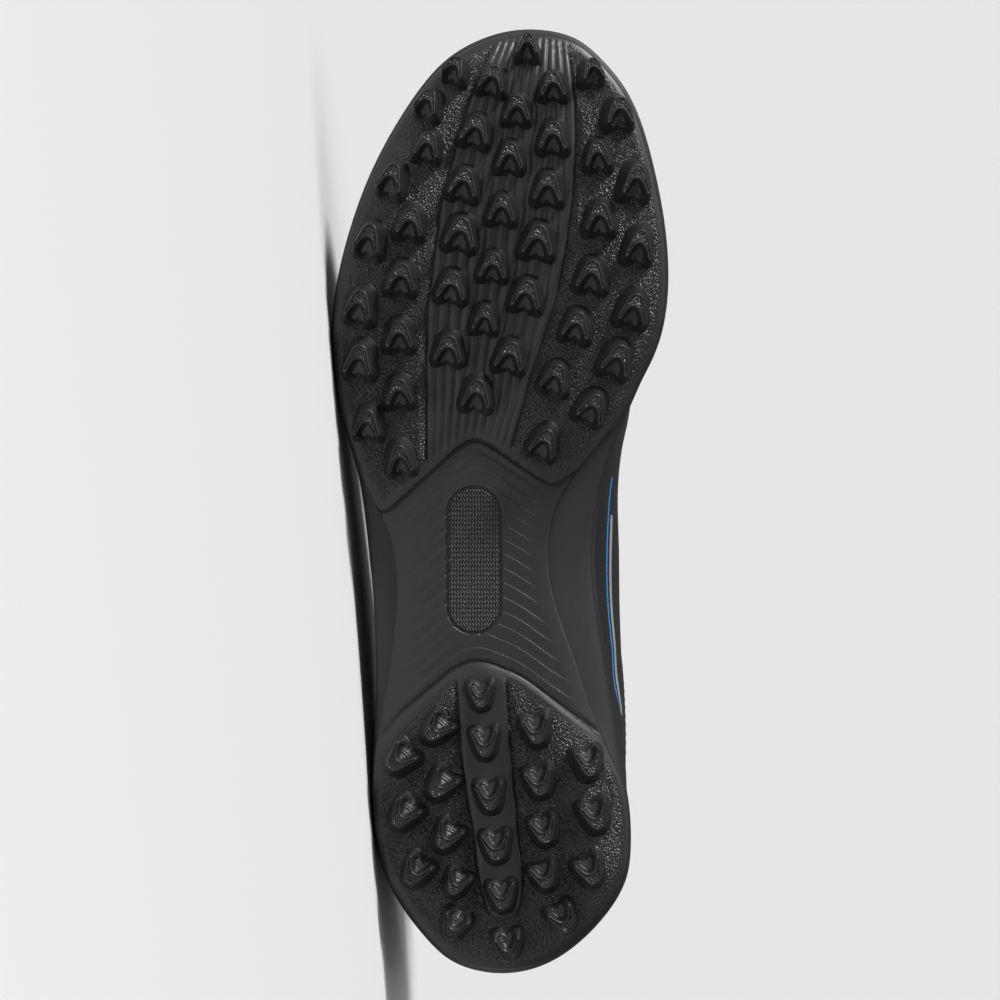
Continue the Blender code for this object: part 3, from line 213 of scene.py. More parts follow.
# The upper, a row for each side and section. The foot of a row stands on the rim at the first
# column's share of LENGTH. Its top edge is given by shares of LENGTH, BALL_WIDTH and HEEL_HEIGHT.
# The wall leaves the foot outwards and upwards, and comes into the edge from the side, all as
# shares of HEEL_HEIGHT.
# along, edge along, edge across, edge height, out, up, from ahead, from outside, from below
UPPER_LATERAL = (
    (0.00, 0.024, -0.010, 1.000, 0.030, 0.23, -0.035, 0.00, 0.25),
    (0.05, 0.056, -0.157, 0.972, 0.028, 0.23, -0.010, 0.07, 0.23),
    (0.14, 0.133, -0.270, 0.850, 0.025, 0.19, 0.000, 0.10, 0.17),
    (0.25, 0.231, -0.332, 0.735, 0.030, 0.16, 0.005, 0.062, 0.15),
    (0.36, 0.332, -0.312, 0.915, 0.040, 0.23, 0.015, 0.090, 0.23),
    (0.47, 0.413, -0.180, 1.062, 0.055, 0.28, 0.050, 0.285, 0.15),
    (0.58, 0.486, -0.123, 0.955, 0.045, 0.28, 0.100, 0.300, 0.09),
    (0.69, 0.560, -0.103, 0.841, 0.018, 0.23, 0.160, 0.22, 0.045),
    (0.79, 0.612, -0.088, 0.765, 0.014, 0.22, 0.270, 0.19, 0.03),
    (0.88, 0.644, -0.062, 0.714, 0.012, 0.21, 0.400, 0.13, 0.06),
    (0.95, 0.659, -0.022, 0.688, 0.012, 0.20, 0.510, 0.07, 0.09),
    (1.00, 0.664, 0.030, 0.680, 0.012, 0.19, 0.560, 0.00, 0.105),
)
UPPER_MEDIAL = (
    (0.05, 0.056, 0.147, 0.978, 0.028, 0.23, -0.010, 0.07, 0.23),
    (0.14, 0.133, 0.270, 0.865, 0.020, 0.19, 0.000, 0.10, 0.17),
    (0.25, 0.231, 0.325, 0.755, 0.048, 0.16, 0.010, 0.075, 0.14),
    (0.36, 0.332, 0.310, 0.935, 0.095, 0.22, 0.020, 0.095, 0.20),
    (0.47, 0.413, 0.222, 1.070, 0.155, 0.25, 0.050, 0.190, 0.17),
    (0.58, 0.486, 0.177, 0.962, 0.070, 0.28, 0.100, 0.215, 0.10),
    (0.69, 0.560, 0.162, 0.848, 0.018, 0.24, 0.160, 0.23, 0.045),
    (0.79, 0.612, 0.147, 0.770, 0.014, 0.23, 0.270, 0.22, 0.02),
    (0.88, 0.644, 0.122, 0.717, 0.012, 0.22, 0.400, 0.16, 0.05),
    (0.95, 0.659, 0.083, 0.690, 0.012, 0.20, 0.510, 0.09, 0.085),
)

# The tongue's front lies under the vamp. Each row gives three spots on one side and the middle one
# by the foot of the upper's section that they lie under and the share of its curve.
# side, share, band, share, edge, share, middle share, thickness
TONGUE_FRONT = (
    (0.820, 0.800, 0.900, 0.845, 0.960, 0.880, 0.895, 0.70),
    (0.785, 0.775, 0.845, 0.890, 0.910, 0.990, 1.010, 0.80),
)
# Under the open throat each row lies under one section. The columns are its foot, the share of its
# curve where the tongue's side ends, then the crown and the thickness as shares of TONGUE_THICK.
# along, side, crown, thickness
TONGUE_UNDER = (
    (0.780, 0.760, -0.15, 0.85),
    (0.710, 0.750, 0.40, 0.90),
    (0.620, 0.740, 0.90, 1.00),
    (0.540, 0.790, 1.10, 1.10),
    (0.475, 0.880, 1.20, 1.20),
)
# Above the throat each row gives the middle of the tongue's top surface as shares of LENGTH and
# HEEL_HEIGHT, then its half width as a share of BALL_WIDTH, and how far its sides droop and its
# thickness as shares of HEEL_HEIGHT and TONGUE_THICK.
# along, height, half width, droop, thickness
TONGUE_FREE = (
    (0.392, 1.112, 0.188, 0.105, 1.40),
    (0.366, 1.175, 0.212, 0.105, 1.55),
    (0.342, 1.235, 0.226, 0.098, 1.60),
    (0.327, 1.275, 0.218, 0.085, 1.40),
    (0.319, 1.296, 0.175, 0.055, 1.00),
)

# How the shoe lies. Its medial side faces up, leaning a little to the toe and away from the studs,
# and its own origin, under the heel end, lies at this place in the frame.
LEAN_TO_TOE = 4.8129
LEAN_FROM_STUDS = 3.5716
SHOE_ORIGIN = (0.142288, -0.055869, 0.036446)

# The stud's outlines as finished, half of each, its closed end up, in shares of width and length.
STUD_BASE = ((0.00, 0.49), (0.17, 0.465), (0.325, 0.345), (0.425, 0.13), (0.48, -0.12), (0.49, -0.32),
             (0.42, -0.445), (0.28, -0.485), (0.12, -0.44), (0.00, -0.41))
STUD_TOP = ((0.00, 0.315), (0.11, 0.285), (0.19, 0.18), (0.25, 0.045), (0.30, -0.085),
            (0.345, -0.19), (0.35, -0.25), (0.325, -0.295), (0.285, -0.27), (0.24, -0.185),
            (0.19, -0.095), (0.13, -0.015), (0.065, 0.03), (0.00, 0.042))
# The open pocket between the stud's legs, half of it, and the height of its floor along the stud.
STUD_POCKET = ((0.00, 0.042), (0.065, 0.03), (0.13, -0.015), (0.19, -0.095), (0.24, -0.185),
               (0.285, -0.27), (0.255, -0.35), (0.195, -0.41), (0.165, -0.52), (0.00, -0.52))
POCKET_ALONG = (-0.47, -0.41, -0.375, -0.10, 0.00, 0.04)
POCKET_FLOOR = (0.00, 0.08, 0.26, 0.52, 0.62, 0.75)
STUD_SIZE = (12.0 * MM, 13.0 * MM)

# Edges of the smooth band down the middle of the forefoot pad, and of the bar down the heel pad.
# along, lateral edge, medial edge
BAND_EDGES = (
    (0.540, -0.228, 0.012), (0.607, -0.228, 0.066), (0.651, -0.228, 0.102), (0.702, -0.224, 0.149),
    (0.754, -0.206, 0.181), (0.810, -0.185, 0.204), (0.872, -0.141, 0.216), (0.936, -0.084, 0.210),
    (1.000, -0.004, 0.188),
)
BAR_EDGES = (
    (0.052, -0.034, 0.040), (0.073, -0.048, 0.050), (0.096, -0.066, 0.058), (0.142, -0.084, 0.047),
    (0.188, -0.105, 0.035), (0.240, -0.124, 0.021), (0.299, -0.134, 0.009), (0.335, -0.140, 0.000),
)
BAND_STRIPS = 11
# Terraces of the midfoot panel.
CONTOURS = 15
# Length of the steps in which a pad's end is drawn.
END_STEP = 0.8 * MM
# Run of a terrace's riser and of the window's edge, and how much flatter than a half circle the heel
# bar's round end is.
RISER = 0.16 * MM
BAR_ROUND = 1.1

# Plain window in the middle of the midfoot panel: centre, half length and half width.
WINDOW_CENTRE = (0.4375, -0.085)
WINDOW_HALF = (21.5 * MM, 7.5 * MM)


def turn_of(along):
    """Place round half of a loop, from 0 at the heel to 1 at the toe, for a share of its length."""
    return np.arccos(1.0 - 2.0 * np.clip(along, 0.0, 1.0)) / math.pi


def natural_spline(knots, values, at):
    """Cubic through the knots, straight at both ends. Values may have several columns."""
    knots = np.asarray(knots, float)
    values = np.asarray(values, float)
    flat = values.reshape(len(knots), -1)
    count = len(knots)
    gap = np.diff(knots)
    system = np.zeros((count, count))
    right = np.zeros_like(flat)
    system[0, 0] = system[-1, -1] = 1.0
    for i in range(1, count - 1):
        system[i, i - 1:i + 2] = gap[i - 1], 2.0 * (gap[i - 1] + gap[i]), gap[i]
        right[i] = 6.0 * ((flat[i + 1] - flat[i]) / gap[i] - (flat[i] - flat[i - 1]) / gap[i - 1])
    bend = np.linalg.solve(system, right)
    at = np.atleast_1d(np.asarray(at, float))
    cell = np.clip(np.searchsorted(knots, at, side="right") - 1, 0, count - 2)
    width = gap[cell][:, None]
    low = (knots[cell + 1] - at)[:, None]
    high = (at - knots[cell])[:, None]
    result = (bend[cell] * low ** 3 + bend[cell + 1] * high ** 3) / (6.0 * width)
    result += (flat[cell] / width - bend[cell] * width / 6.0) * low
    result += (flat[cell + 1] / width - bend[cell + 1] * width / 6.0) * high
    return result.reshape((len(at),) + values.shape[1:])


def loop_spline(knots, values, at):
    """Smooth closed curve: the knots lie in 0 to 2 and the curve meets itself there."""
    knots = np.asarray(knots, float)
    values = np.asarray(values, float)
    wide = np.concatenate([knots - 2.0, knots, knots + 2.0])
    repeated = np.concatenate([values, values, values])
    return natural_spline(wide, repeated, np.mod(np.asarray(at, float), 2.0))


def side_rows(rows, lateral, medial):
    """Knots and values round the foot, out along the lateral side and back along the medial."""
    knots = [turn_of(row[0]) for row in rows]
    values = [lateral(row) for row in rows]
    for row in reversed(rows[1:-1]):
        knots.append(2.0 - turn_of(row[0]))
        values.append(medial(row))
    return np.array(knots, float), np.array(values, float)


def along_of(turn):
    """Share of a loop's length at a place round it; the other way round from turn_of."""
    return (1.0 - np.cos(math.pi * np.asarray(turn, float))) / 2.0


def outline(turn, piece):
    """Points of the outsole's outline (piece 0) or the midsole's (piece 1), seen from above."""
    knots, across = side_rows(OUTLINES, lambda r: r[1 + 2 * piece], lambda r: r[2 + 2 * piece])
    inset = (SOLE_INSET, 0.0)[piece]
    along = inset + (LENGTH - 2.0 * inset) * along_of(turn)
    across = loop_spline(knots, across, turn) * BALL_WIDTH
    shrink = 1.0 - 2.0 * (SOLE_SHRINK, 0.0)[piece] / BALL_WIDTH
    return np.column_stack([along, across * shrink])


def inward(points):
    """Unit vectors pointing into a closed loop that runs heel, lateral side, toe, medial side."""
    tangent = np.roll(points, -1, axis=0) - np.roll(points, 1, axis=0)
    normal = np.column_stack([-tangent[:, 1], tangent[:, 0]])
    return normal / np.linalg.norm(normal, axis=1)[:, None]


def level(along, column):
    """A column of LEVELS at places along the foot."""
    knots = [row[0] for row in LEVELS]
    values = [row[column] for row in LEVELS]
    return natural_spline(knots, values, np.clip(along, 0.0, 1.0))


def distance_to_loop(points, loop):
    """Distance from each point to a closed polygon, positive inside it."""
    step = np.roll(loop, -1, axis=0) - loop
    length = (step * step).sum(axis=1)
    nearest = []
    for some in np.array_split(points, max(1, len(points) // 3000)):
        away = some[:, None, :] - loop[None, :, :]
        share = np.clip((away * step).sum(axis=2) / length, 0.0, 1.0)
        near = away - share[:, :, None] * step
        nearest.append(np.sqrt((near * near).sum(axis=2)).min(axis=1))
    nearest = np.concatenate(nearest)
    return np.where(inside_loop(points, loop), nearest, -nearest)


def inside_loop(points, loop):
    """Whether each point lies inside a closed polygon."""
    x, y = points[:, 0][:, None], points[:, 1][:, None]
    x1, y1 = loop[:, 0], loop[:, 1]
    x2, y2 = np.roll(x1, -1), np.roll(y1, -1)
    crosses = (y1 > y) != (y2 > y)
    slope = np.where(y2 == y1, 1.0, y2 - y1)
    hit = x < (x2 - x1) * (y - y1) / slope + x1
    return (crosses & hit).sum(axis=1) % 2 == 1


def rim_height(turn):
    """Height of the rim that the upper stands on."""
    return SOLE_HEIGHT * level(along_of(turn), 2)


def foot_loop(turns):
    """Outer edge of the upper where it stands on the midsole's rim."""
    loop = outline(turns, 1)
    points = loop + inward(loop) * UPPER_OUT
    return np.column_stack([points, rim_height(turns)])


def foot_bed(points):
    """Height of the midsole's top under the foot, dished a little below the rim."""
    along = points[:, 0] / LENGTH
    return SOLE_HEIGHT * level(along, 2) - BED_DISH


def upper_controls(turns):
    """The four control points of the wall's curve at each turn round the foot."""
    rows = list(UPPER_LATERAL)
    knots = [turn_of(row[0]) for row in rows] + [2.0 - turn_of(row[0]) for row in UPPER_MEDIAL[::-1]]
    table = [row[1:] for row in rows] + [row[1:] for row in UPPER_MEDIAL[::-1]]
    sides = [-1.0] * len(rows) + [1.0] * len(UPPER_MEDIAL)
    table = np.array(table, float)
    table[:, 6] *= np.array(sides)
    values = loop_spline(np.array(knots, float), table, turns)
    foot = foot_loop_at(turns)
    out = -inward_at(turns)
    edge = values[:, :3] * (LENGTH, BALL_WIDTH, HEEL_HEIGHT)
    leave = foot.copy()
    leave[:, :2] += out * (values[:, 3] * HEEL_HEIGHT)[:, None]
    leave[:, 2] += values[:, 4] * HEEL_HEIGHT
    arrive = edge + np.column_stack([values[:, 5], values[:, 6], -values[:, 7]]) * HEEL_HEIGHT
    return foot, leave, arrive, edge


def inward_at(turns):
    """Inward directions of the midsole's outline at any turns."""
    turns = np.atleast_1d(turns)
    step = 1.0 / COLUMNS
    tangent = outline(turns + step, 1) - outline(turns - step, 1)
    normal = np.column_stack([-tangent[:, 1], tangent[:, 0]])
    return normal / np.linalg.norm(normal, axis=1)[:, None]


def foot_loop_at(turns):
    """Foot of the upper's outer surface at any turns, just over the rim."""
    turns = np.atleast_1d(turns)
    points = outline(turns, 1) + inward_at(turns) * UPPER_OUT
    return np.column_stack([points, rim_height(turns) + FIT_GAP])


def upper_surface(turns, shares):
    """Points of the upper's outer surface: share 0 is the foot and share 1 is the top edge."""
    turns = np.atleast_1d(np.asarray(turns, float))
    shares = np.broadcast_to(np.atleast_1d(np.asarray(shares, float)), turns.shape)
    foot, leave, arrive, edge = upper_controls(turns)
    s = shares[:, None]
    rest = 1.0 - s
    return (foot * rest ** 3 + leave * 3.0 * rest ** 2 * s
            + arrive * 3.0 * rest * s ** 2 + edge * s ** 3)


def upper_normal(turns, shares):
    """Unit normals of the outer surface, pointing out of the shoe."""
    turns = np.atleast_1d(np.asarray(turns, float))
    shares = np.broadcast_to(np.atleast_1d(np.asarray(shares, float)), turns.shape)
    step = 0.004
    around = upper_surface(turns + step, shares) - upper_surface(turns - step, shares)
    up = upper_surface(turns, shares + 0.01) - upper_surface(turns, shares - 0.01)
    normal = np.cross(around, up)
    return normal / np.linalg.norm(normal, axis=1)[:, None]


def band_share(turns):
    """Share of the wall's curve where the eyestay and collar band starts."""
    _, _, arrive, edge = upper_controls(turns)
    speed = 3.0 * np.linalg.norm(edge - arrive, axis=1)
    return 1.0 - np.clip(BAND_WIDTH / speed, 0.08, 0.36)


def eyelet_turns():
    """Places of the eyelets round the foot, from the front of the throat up, lateral side."""
    along = np.linspace(0.815, 0.490, EYELETS)
    return turn_of(along)


def eyelet_frames():
    """Centre and outward normal of each eyelet: lateral side, then medial."""
    frames = []
    for mirror in (False, True):
        turns = 2.0 - eyelet_turns() if mirror else eyelet_turns()
        _, _, arrive, edge = upper_controls(turns)
        speed = 3.0 * np.linalg.norm(edge - arrive, axis=1)
        shares = 1.0 - EYELET_INSET / speed
        frames.append((upper_surface(turns, shares), upper_normal(turns, shares)))
    return frames


def throat_curve(along, side, crown, depth):
    """Points across under the upper: side, band and edge of each side, and the crown between."""
    turn = float(turn_of(along))
    turns = np.array([turn] * 3 + [2.0 - turn] * 3)
    shares = np.array([side, (side + 1.0) / 2.0, 1.0, 1.0, (side + 1.0) / 2.0, side])
    points = upper_surface(turns, shares) - upper_normal(turns, shares) * depth
    middle = (points[2] + points[3]) / 2.0
    rise = np.cross(points[3] - points[2], TONGUE_LINE)
    rise /= np.linalg.norm(rise)
    if rise[2] < 0.0:
        rise = -rise
    return np.vstack([points[:3], middle + rise * crown, points[3:]])


TONGUE_LINE = np.array([-0.80, 0.0, 0.60])


def tongue_sections():
    """Cross curves of the tongue's top surface with their thickness, front to top."""
    sections = []
    depth = UPPER_WALL + TONGUE_GAP
    for *spots, middle, thick in TONGUE_FRONT:
        turns = turn_of(spots[0::2])
        shares = np.array(spots[1::2])
        turns = np.concatenate([turns, [1.0], 2.0 - turns[::-1]])
        shares = np.concatenate([shares, [middle], shares[::-1]])
        curve = upper_surface(turns, shares) - upper_normal(turns, shares) * depth
        sections.append((curve, thick * TONGUE_THICK))
    for along, side, crown, thick in TONGUE_UNDER:
        curve = throat_curve(along, side, crown * TONGUE_THICK, depth)
        sections.append((curve, thick * TONGUE_THICK))
    down = np.array([TONGUE_LINE[2], 0.0, -TONGUE_LINE[0]])
    shares = np.array([-1.0, -0.72, -0.42, 0.0, 0.42, 0.72, 1.0])[:, None]
    for along, height, half, droop, thick in TONGUE_FREE:
        middle = np.array([along * LENGTH, 0.021 * BALL_WIDTH, height * HEEL_HEIGHT])
        curve = middle + shares * (0.0, half * BALL_WIDTH, 0.0)
        curve = curve - shares ** 2 * down * droop * HEEL_HEIGHT
        sections.append((curve, thick * TONGUE_THICK))
    return sections


@lru_cache(maxsize=1)
def lace_sections():
    """Five points across the throat at each pair of eyelets, just over the upper and the tongue."""
    frames = eyelet_frames()
    lift = BAND_STEP + FIT_GAP + 0.0004
    turns = eyelet_turns()
    lateral = frames[0][0] + frames[0][1] * lift
    medial = frames[1][0] + frames[1][1] * lift
    edges = []
    for side in (turns, 2.0 - turns):
        edges.append(upper_surface(side, 1.0) + upper_normal(side, 1.0) * (lift + 0.0003))
    sections = []
    for i, turn in enumerate(turns):
        along = float(along_of(turn))
        crown = float(np.interp(-along, [-row[0] for row in TONGUE_UNDER],
                                [row[2] for row in TONGUE_UNDER]))
        curve = throat_curve(along, 0.8, crown * TONGUE_THICK, UPPER_WALL + TONGUE_GAP)
        rise = np.cross(curve[4] - curve[2], TONGUE_LINE)
        rise *= math.copysign(1.0, rise[2]) / np.linalg.norm(rise)
        middle = curve[3] + rise * 0.0012
        inner = middle * 0.5 + (edges[0][i] + edges[1][i]) * 0.25
        middle = np.where(inner[2] > middle[2], inner, middle)
        sections.append(np.array([lateral[i], edges[0][i], middle, edges[1][i], medial[i]]))
    return np.array(sections)


def lace_surface(places):
    """Points over the throat. The first number counts eyelets from the front, and the second goes
    from -1 at the lateral eyelets to 1 at the medial ones."""
    count = np.linspace(0.0, EYELETS - 1.0, EYELETS)
    places = np.asarray(places, float)
    rows = natural_spline(count, lace_sections(), np.clip(places[:, 0], -0.6, EYELETS - 0.4))
    knots = (-1.0, -0.6, 0.0, 0.6, 1.0)
    return np.array([natural_spline(knots, row, [v])[0] for row, v in zip(rows, places[:, 1])])


def smooth(value):
    """0 below 0, 1 above 1 and an S curve between."""
    value = np.clip(value, 0.0, 1.0)
    return value * value * (3.0 - 2.0 * value)


def length_so_far(points):
    """Length along a line of points up to each of them."""
    return np.concatenate([[0.0], np.cumsum(np.linalg.norm(np.diff(points, axis=0), axis=1))])


def read_at(at, run, points):
    """Points at some lengths along a line of points, straight between them."""
    return np.column_stack([np.interp(at, run, points[:, k]) for k in range(points.shape[1])])


def resample(points, spacing, closed=False):
    """Evenly spaced points on the smooth curve through the given ones."""
    points = np.asarray(points, float)
    if closed:
        points = np.vstack([points, points[:1]])
    knots = length_so_far(points)
    total = knots[-1]
    dense = np.linspace(0.0, total, 40 * len(points))
    if closed:
        wide = np.concatenate([knots[:-1] - total, knots[:-1], knots + total])
        every = np.vstack([points[:-1], points[:-1], points])
        curve = natural_spline(wide, every, dense)
    else:
        curve = natural_spline(knots, points, dense)
    run = length_so_far(curve)
    count = max(3, int(round(run[-1] / spacing)))
    at = np.linspace(0.0, run[-1], count + 1)
    if closed:
        at = at[:-1]
    return read_at(at, run, curve)


def mirrored(half):
    """A whole closed outline from its right half, whose two end points lie on the middle line."""
    left = [(-x, y) for x, y in half[1:-1]]
    return np.array(list(half) + left[::-1])


def offset_loop(loop, amount):
    """A closed polygon moved inwards by an amount, whichever way it runs."""
    ahead = np.roll(loop, -1, axis=0) - np.roll(loop, 1, axis=0)
    normal = np.column_stack([-ahead[:, 1], ahead[:, 0]])
    normal /= np.linalg.norm(normal, axis=1)[:, None]
    following = np.roll(loop, -1, axis=0)
    area = (loop[:, 0] * following[:, 1] - loop[:, 1] * following[:, 0]).sum()
    return loop + normal * (amount if area > 0.0 else -amount)


def triangulate(points, loop_count):
    """Triangles over a set of points, kept inside the closed loop that its first points make."""
    edges = [(i, (i + 1) % loop_count) for i in range(loop_count)]
    result = delaunay_2d_cdt([Vector(p) for p in points], edges, [], 0, 1e-7)
    spots = np.array([tuple(spot) for spot in result[0]])
    faces = np.array([face for face in result[2] if len(face) == 3])
    middles = spots[faces].mean(axis=1)
    loop = np.asarray(points[:loop_count])
    inside = np.concatenate([inside_loop(some, loop)
                             for some in np.array_split(middles, max(1, len(middles) // 4000))])
    return spots, faces[inside]


def resting_matrix():
    """Matrix from the upright shoe to the frame, where it lies on its lateral side."""
    lean_x = math.sin(math.radians(LEAN_TO_TOE))
    lean_z = -math.sin(math.radians(LEAN_FROM_STUDS))
    up = Vector((lean_x, math.sqrt(1.0 - lean_x ** 2 - lean_z ** 2), lean_z))
    back = Vector((-1.0, 0.0, 0.0))
    back = (back - up * back.dot(up)).normalized()
    turn = Matrix((back, up.cross(back), up)).to_4x4()
    return Matrix.Translation(SHOE_ORIGIN) @ turn


RESTING = resting_matrix()


def to_frame(points):
    """Points of the upright shoe in the frame's coordinates."""
    matrix = np.array(RESTING)
    return np.asarray(points, float) @ matrix[:3, :3].T + matrix[:3, 3]


def place_object(name, data):
    """A new object in the scene."""
    item = bpy.data.objects.new(name, data)
    bpy.context.scene.collection.objects.link(item)
    return item


def turn_faces_out(mesh):
    """Makes every face of a closed mesh look outwards."""
    work = bmesh.new()
    work.from_mesh(mesh)
    bmesh.ops.recalc_face_normals(work, faces=work.faces)
    work.to_mesh(mesh)
    work.free()


def make_piece(name, points, faces, materials, zones=None, layers=None, uv=None, node=None):
    """A mesh of upright points, laid in the frame, that rides on the shoe's one body.

    Zones are material numbers for each face, layers are named numbers for each point, and uv gives
    two real lengths for each point, from which woven and printed patterns are drawn.
    """
    mesh = bpy.data.meshes.new(name)
    mesh.from_pydata(to_frame(points).tolist(), [], [tuple(int(i) for i in face) for face in faces])
    for material in materials:
        mesh.materials.append(material)
    if zones is not None:
        mesh.polygons.foreach_set("material_index", np.asarray(zones, np.int32))
    for label, values in (layers or {}).items():
        layer = mesh.attributes.new(label, "FLOAT", "POINT")
        layer.data.foreach_set("value", np.asarray(values, np.float32))
    if uv is not None:
        corners = np.empty(len(mesh.loops), np.int32)
        mesh.loops.foreach_get("vertex_index", corners)
        chart = mesh.uv_layers.new(name="chart")
        chart.data.foreach_set("uv", np.asarray(uv, np.float32)[corners].ravel())
    mesh.update()
    turn_faces_out(mesh)
    mesh.shade_smooth()
    body = place_object(name, mesh)
    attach(body, "root")
    if node is not None:
        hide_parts(node)
    return body


def grid_faces(rows, columns, wrap_columns=False, wrap_rows=False, first=0):
    """Quads of a grid whose points run row by row."""
    faces = []
    last_row = rows if wrap_rows else rows - 1
    last_column = columns if wrap_columns else columns - 1
    for i in range(last_row):
        for j in range(last_column):
            k, l = (i + 1) % rows, (j + 1) % columns
            faces.append((first + i * columns + j, first + i * columns + l,
                          first + k * columns + l, first + k * columns + j))
    return faces


def unit(vectors):
    """The vectors at length 1."""
    return vectors / np.maximum(np.linalg.norm(vectors, axis=-1, keepdims=True), 1e-12)


# Materials


def linear(text):
    """Linear colour for an sRGB hex value."""
    values = [int(text[i:i + 2], 16) / 255.0 for i in (1, 3, 5)]
    return tuple(v / 12.92 if v <= 0.04045 else ((v + 0.055) / 1.055) ** 2.4 for v in values)


def add_node(tree, kind, settings=None, **inputs):
    """One node with its settings; an input is a value, or an output socket to link to it."""
    node = tree.nodes.new(kind)
    for key, value in (settings or {}).items():
        setattr(node, key, value)
    for key, value in inputs.items():
        socket = node.inputs[int(key[1:])] if key[0] == "_" else node.inputs[key.replace("_", " ")]
        if isinstance(value, bpy.types.NodeSocket):
            tree.links.new(value, socket)
        else:
            socket.default_value = value
    return node


def start_material(name, colour, roughness, **constants):
    """A Principled material whose even values stand on the shader's own sockets."""
    material = bpy.data.materials.new(name)
    material.use_nodes = True
    tree = material.node_tree
    shader = tree.nodes["Principled BSDF"]
    shader.inputs["Base Color"].default_value = (*linear(colour), 1.0)
    shader.inputs["Roughness"].default_value = roughness
    for key, value in constants.items():
        shader.inputs[key.replace("_", " ")].default_value = value
    return material, tree, shader


def noise(tree, place, size, detail):
    """Soft noise whose features have a real size, from 0 to 1."""
    return add_node(tree, "ShaderNodeTexNoise", Vector=place, Scale=1.0 / size, Detail=detail).outputs["Fac"]


def reckon(tree, operation, first, *second):
    """The result of one operation of the Math node on one value or two."""
    values = {f"_{i}": value for i, value in enumerate((first, *second))}
    return add_node(tree, "ShaderNodeMath", {"operation": operation}, **values).outputs[0]


def object_place(tree):
    """Place in the frame, in metres, as each piece's origin is the frame's."""
    return add_node(tree, "ShaderNodeTexCoord").outputs["Object"]


def chart_place(tree):
    """Place on a piece's own chart, in metres."""
    return add_node(tree, "ShaderNodeUVMap", {"uv_map": "chart"}).outputs["UV"]


def layer_value(tree, name):
    """A number that make_piece stored for each point."""
    return add_node(tree, "ShaderNodeAttribute", {"attribute_name": name}).outputs["Fac"]


def tint(tree, shader, colour, other, factor):
    """Colour that goes from one hex value to another by a factor from 0 to 1."""
    mix = add_node(tree, "ShaderNodeMix", {"data_type": "RGBA"}, _0=factor)
    mix.inputs[6].default_value = (*linear(colour), 1.0)
    mix.inputs[7].default_value = (*linear(other), 1.0)
    tree.links.new(mix.outputs[2], shader.inputs["Base Color"])
    return mix


def bump(tree, shader, height, distance, strength=1.0):
    """Adds one bump over those that the shader already has."""
    node = add_node(tree, "ShaderNodeBump", Height=height, Distance=distance, Strength=strength)
    if shader.inputs["Normal"].links:
        tree.links.new(shader.inputs["Normal"].links[0].from_socket, node.inputs["Normal"])
    tree.links.new(node.outputs["Normal"], shader.inputs["Normal"])
    return node


def moulded_rubber(settings):
    """Compression-moulded carbon rubber: a dense black with a low satin gloss, smooth where the
    mould was polished and pebbled where it was etched, so its grain glints at a slant."""
    material, tree, shader = start_material("moulded rubber", settings.rubber_colour, 0.42, IOR=1.52)
    place = object_place(tree)
    grain = layer_value(tree, "grain")
    # The pebbles are longer along one diagonal of the sole.
    turned = add_node(tree, "ShaderNodeMapping", Vector=place, Rotation=(0.0, math.radians(38.0), 0.0))
    stretched = add_node(tree, "ShaderNodeMapping", Vector=turned.outputs["Vector"],
                         Scale=(1.0, 1.0, 0.62))
    pebbles = add_node(tree, "ShaderNodeTexVoronoi", Vector=stretched.outputs["Vector"],
                       Scale=1.0 / settings.pebble_size)
    height = reckon(tree, "MULTIPLY", pebbles.outputs["Distance"], grain)
    bump(tree, shader, noise(tree, place, 0.9 * MM, 3.0), 0.02 * MM)
    bump(tree, shader, height, -0.48 * MM)
    tint(tree, shader, settings.rubber_colour, "#222225", noise(tree, place, 22.0 * MM, 4.0))
    # The etched parts glint, and the polished ones have a broader, weaker shine.
    gloss = add_node(tree, "ShaderNodeMapRange", Value=grain)
    gloss.inputs["To Min"].default_value = 0.44
    gloss.inputs["To Max"].default_value = 0.27
    tree.links.new(gloss.outputs["Result"], shader.inputs["Roughness"])
    return material


def knurled_rubber(settings):
    """The same rubber, moulded with rows of little waves."""
    material, tree, shader = start_material("knurled rubber", settings.rubber_colour, 0.40, IOR=1.52)
    parts = add_node(tree, "ShaderNodeSeparateXYZ", Vector=chart_place(tree))
    # Rows 1.4 mm apart whose waves are 0.9 mm long.
    sway = reckon(tree, "SINE", reckon(tree, "MULTIPLY", parts.outputs["Y"], 2.0 * math.pi / (0.9 * MM)))
    row = reckon(tree, "ADD", parts.outputs["X"], reckon(tree, "MULTIPLY", sway, 0.30 * MM))
    row = reckon(tree, "SINE", reckon(tree, "MULTIPLY", row, 2.0 * math.pi / (1.4 * MM)))
    bump(tree, shader, row, 0.16 * MM)
    return material


def foam_skin(settings):
    """Moulded EVA foam: a closed matt skin, faintly uneven, that scatters light softly."""
    material, tree, shader = start_material("foam skin", settings.foam_colour, 0.56, IOR=1.48)
    place = object_place(tree)
    bump(tree, shader, noise(tree, place, 0.7 * MM, 5.0), 0.035 * MM)
    tint(tree, shader, settings.foam_colour, "#26262a", noise(tree, place, 30.0 * MM, 3.0))
    return material


def woven(tree, shader, thread, depth, place):
    """Plain weave: two crossed sets of threads of a real width, raised in turn."""
    parts = add_node(tree, "ShaderNodeSeparateXYZ", Vector=place)
    waves = [reckon(tree, "SINE", reckon(tree, "MULTIPLY", parts.outputs[axis], math.pi / thread))
             for axis in ("X", "Y")]
    crossed = reckon(tree, "MULTIPLY", *waves)
    bump(tree, shader, crossed, depth)
    return crossed


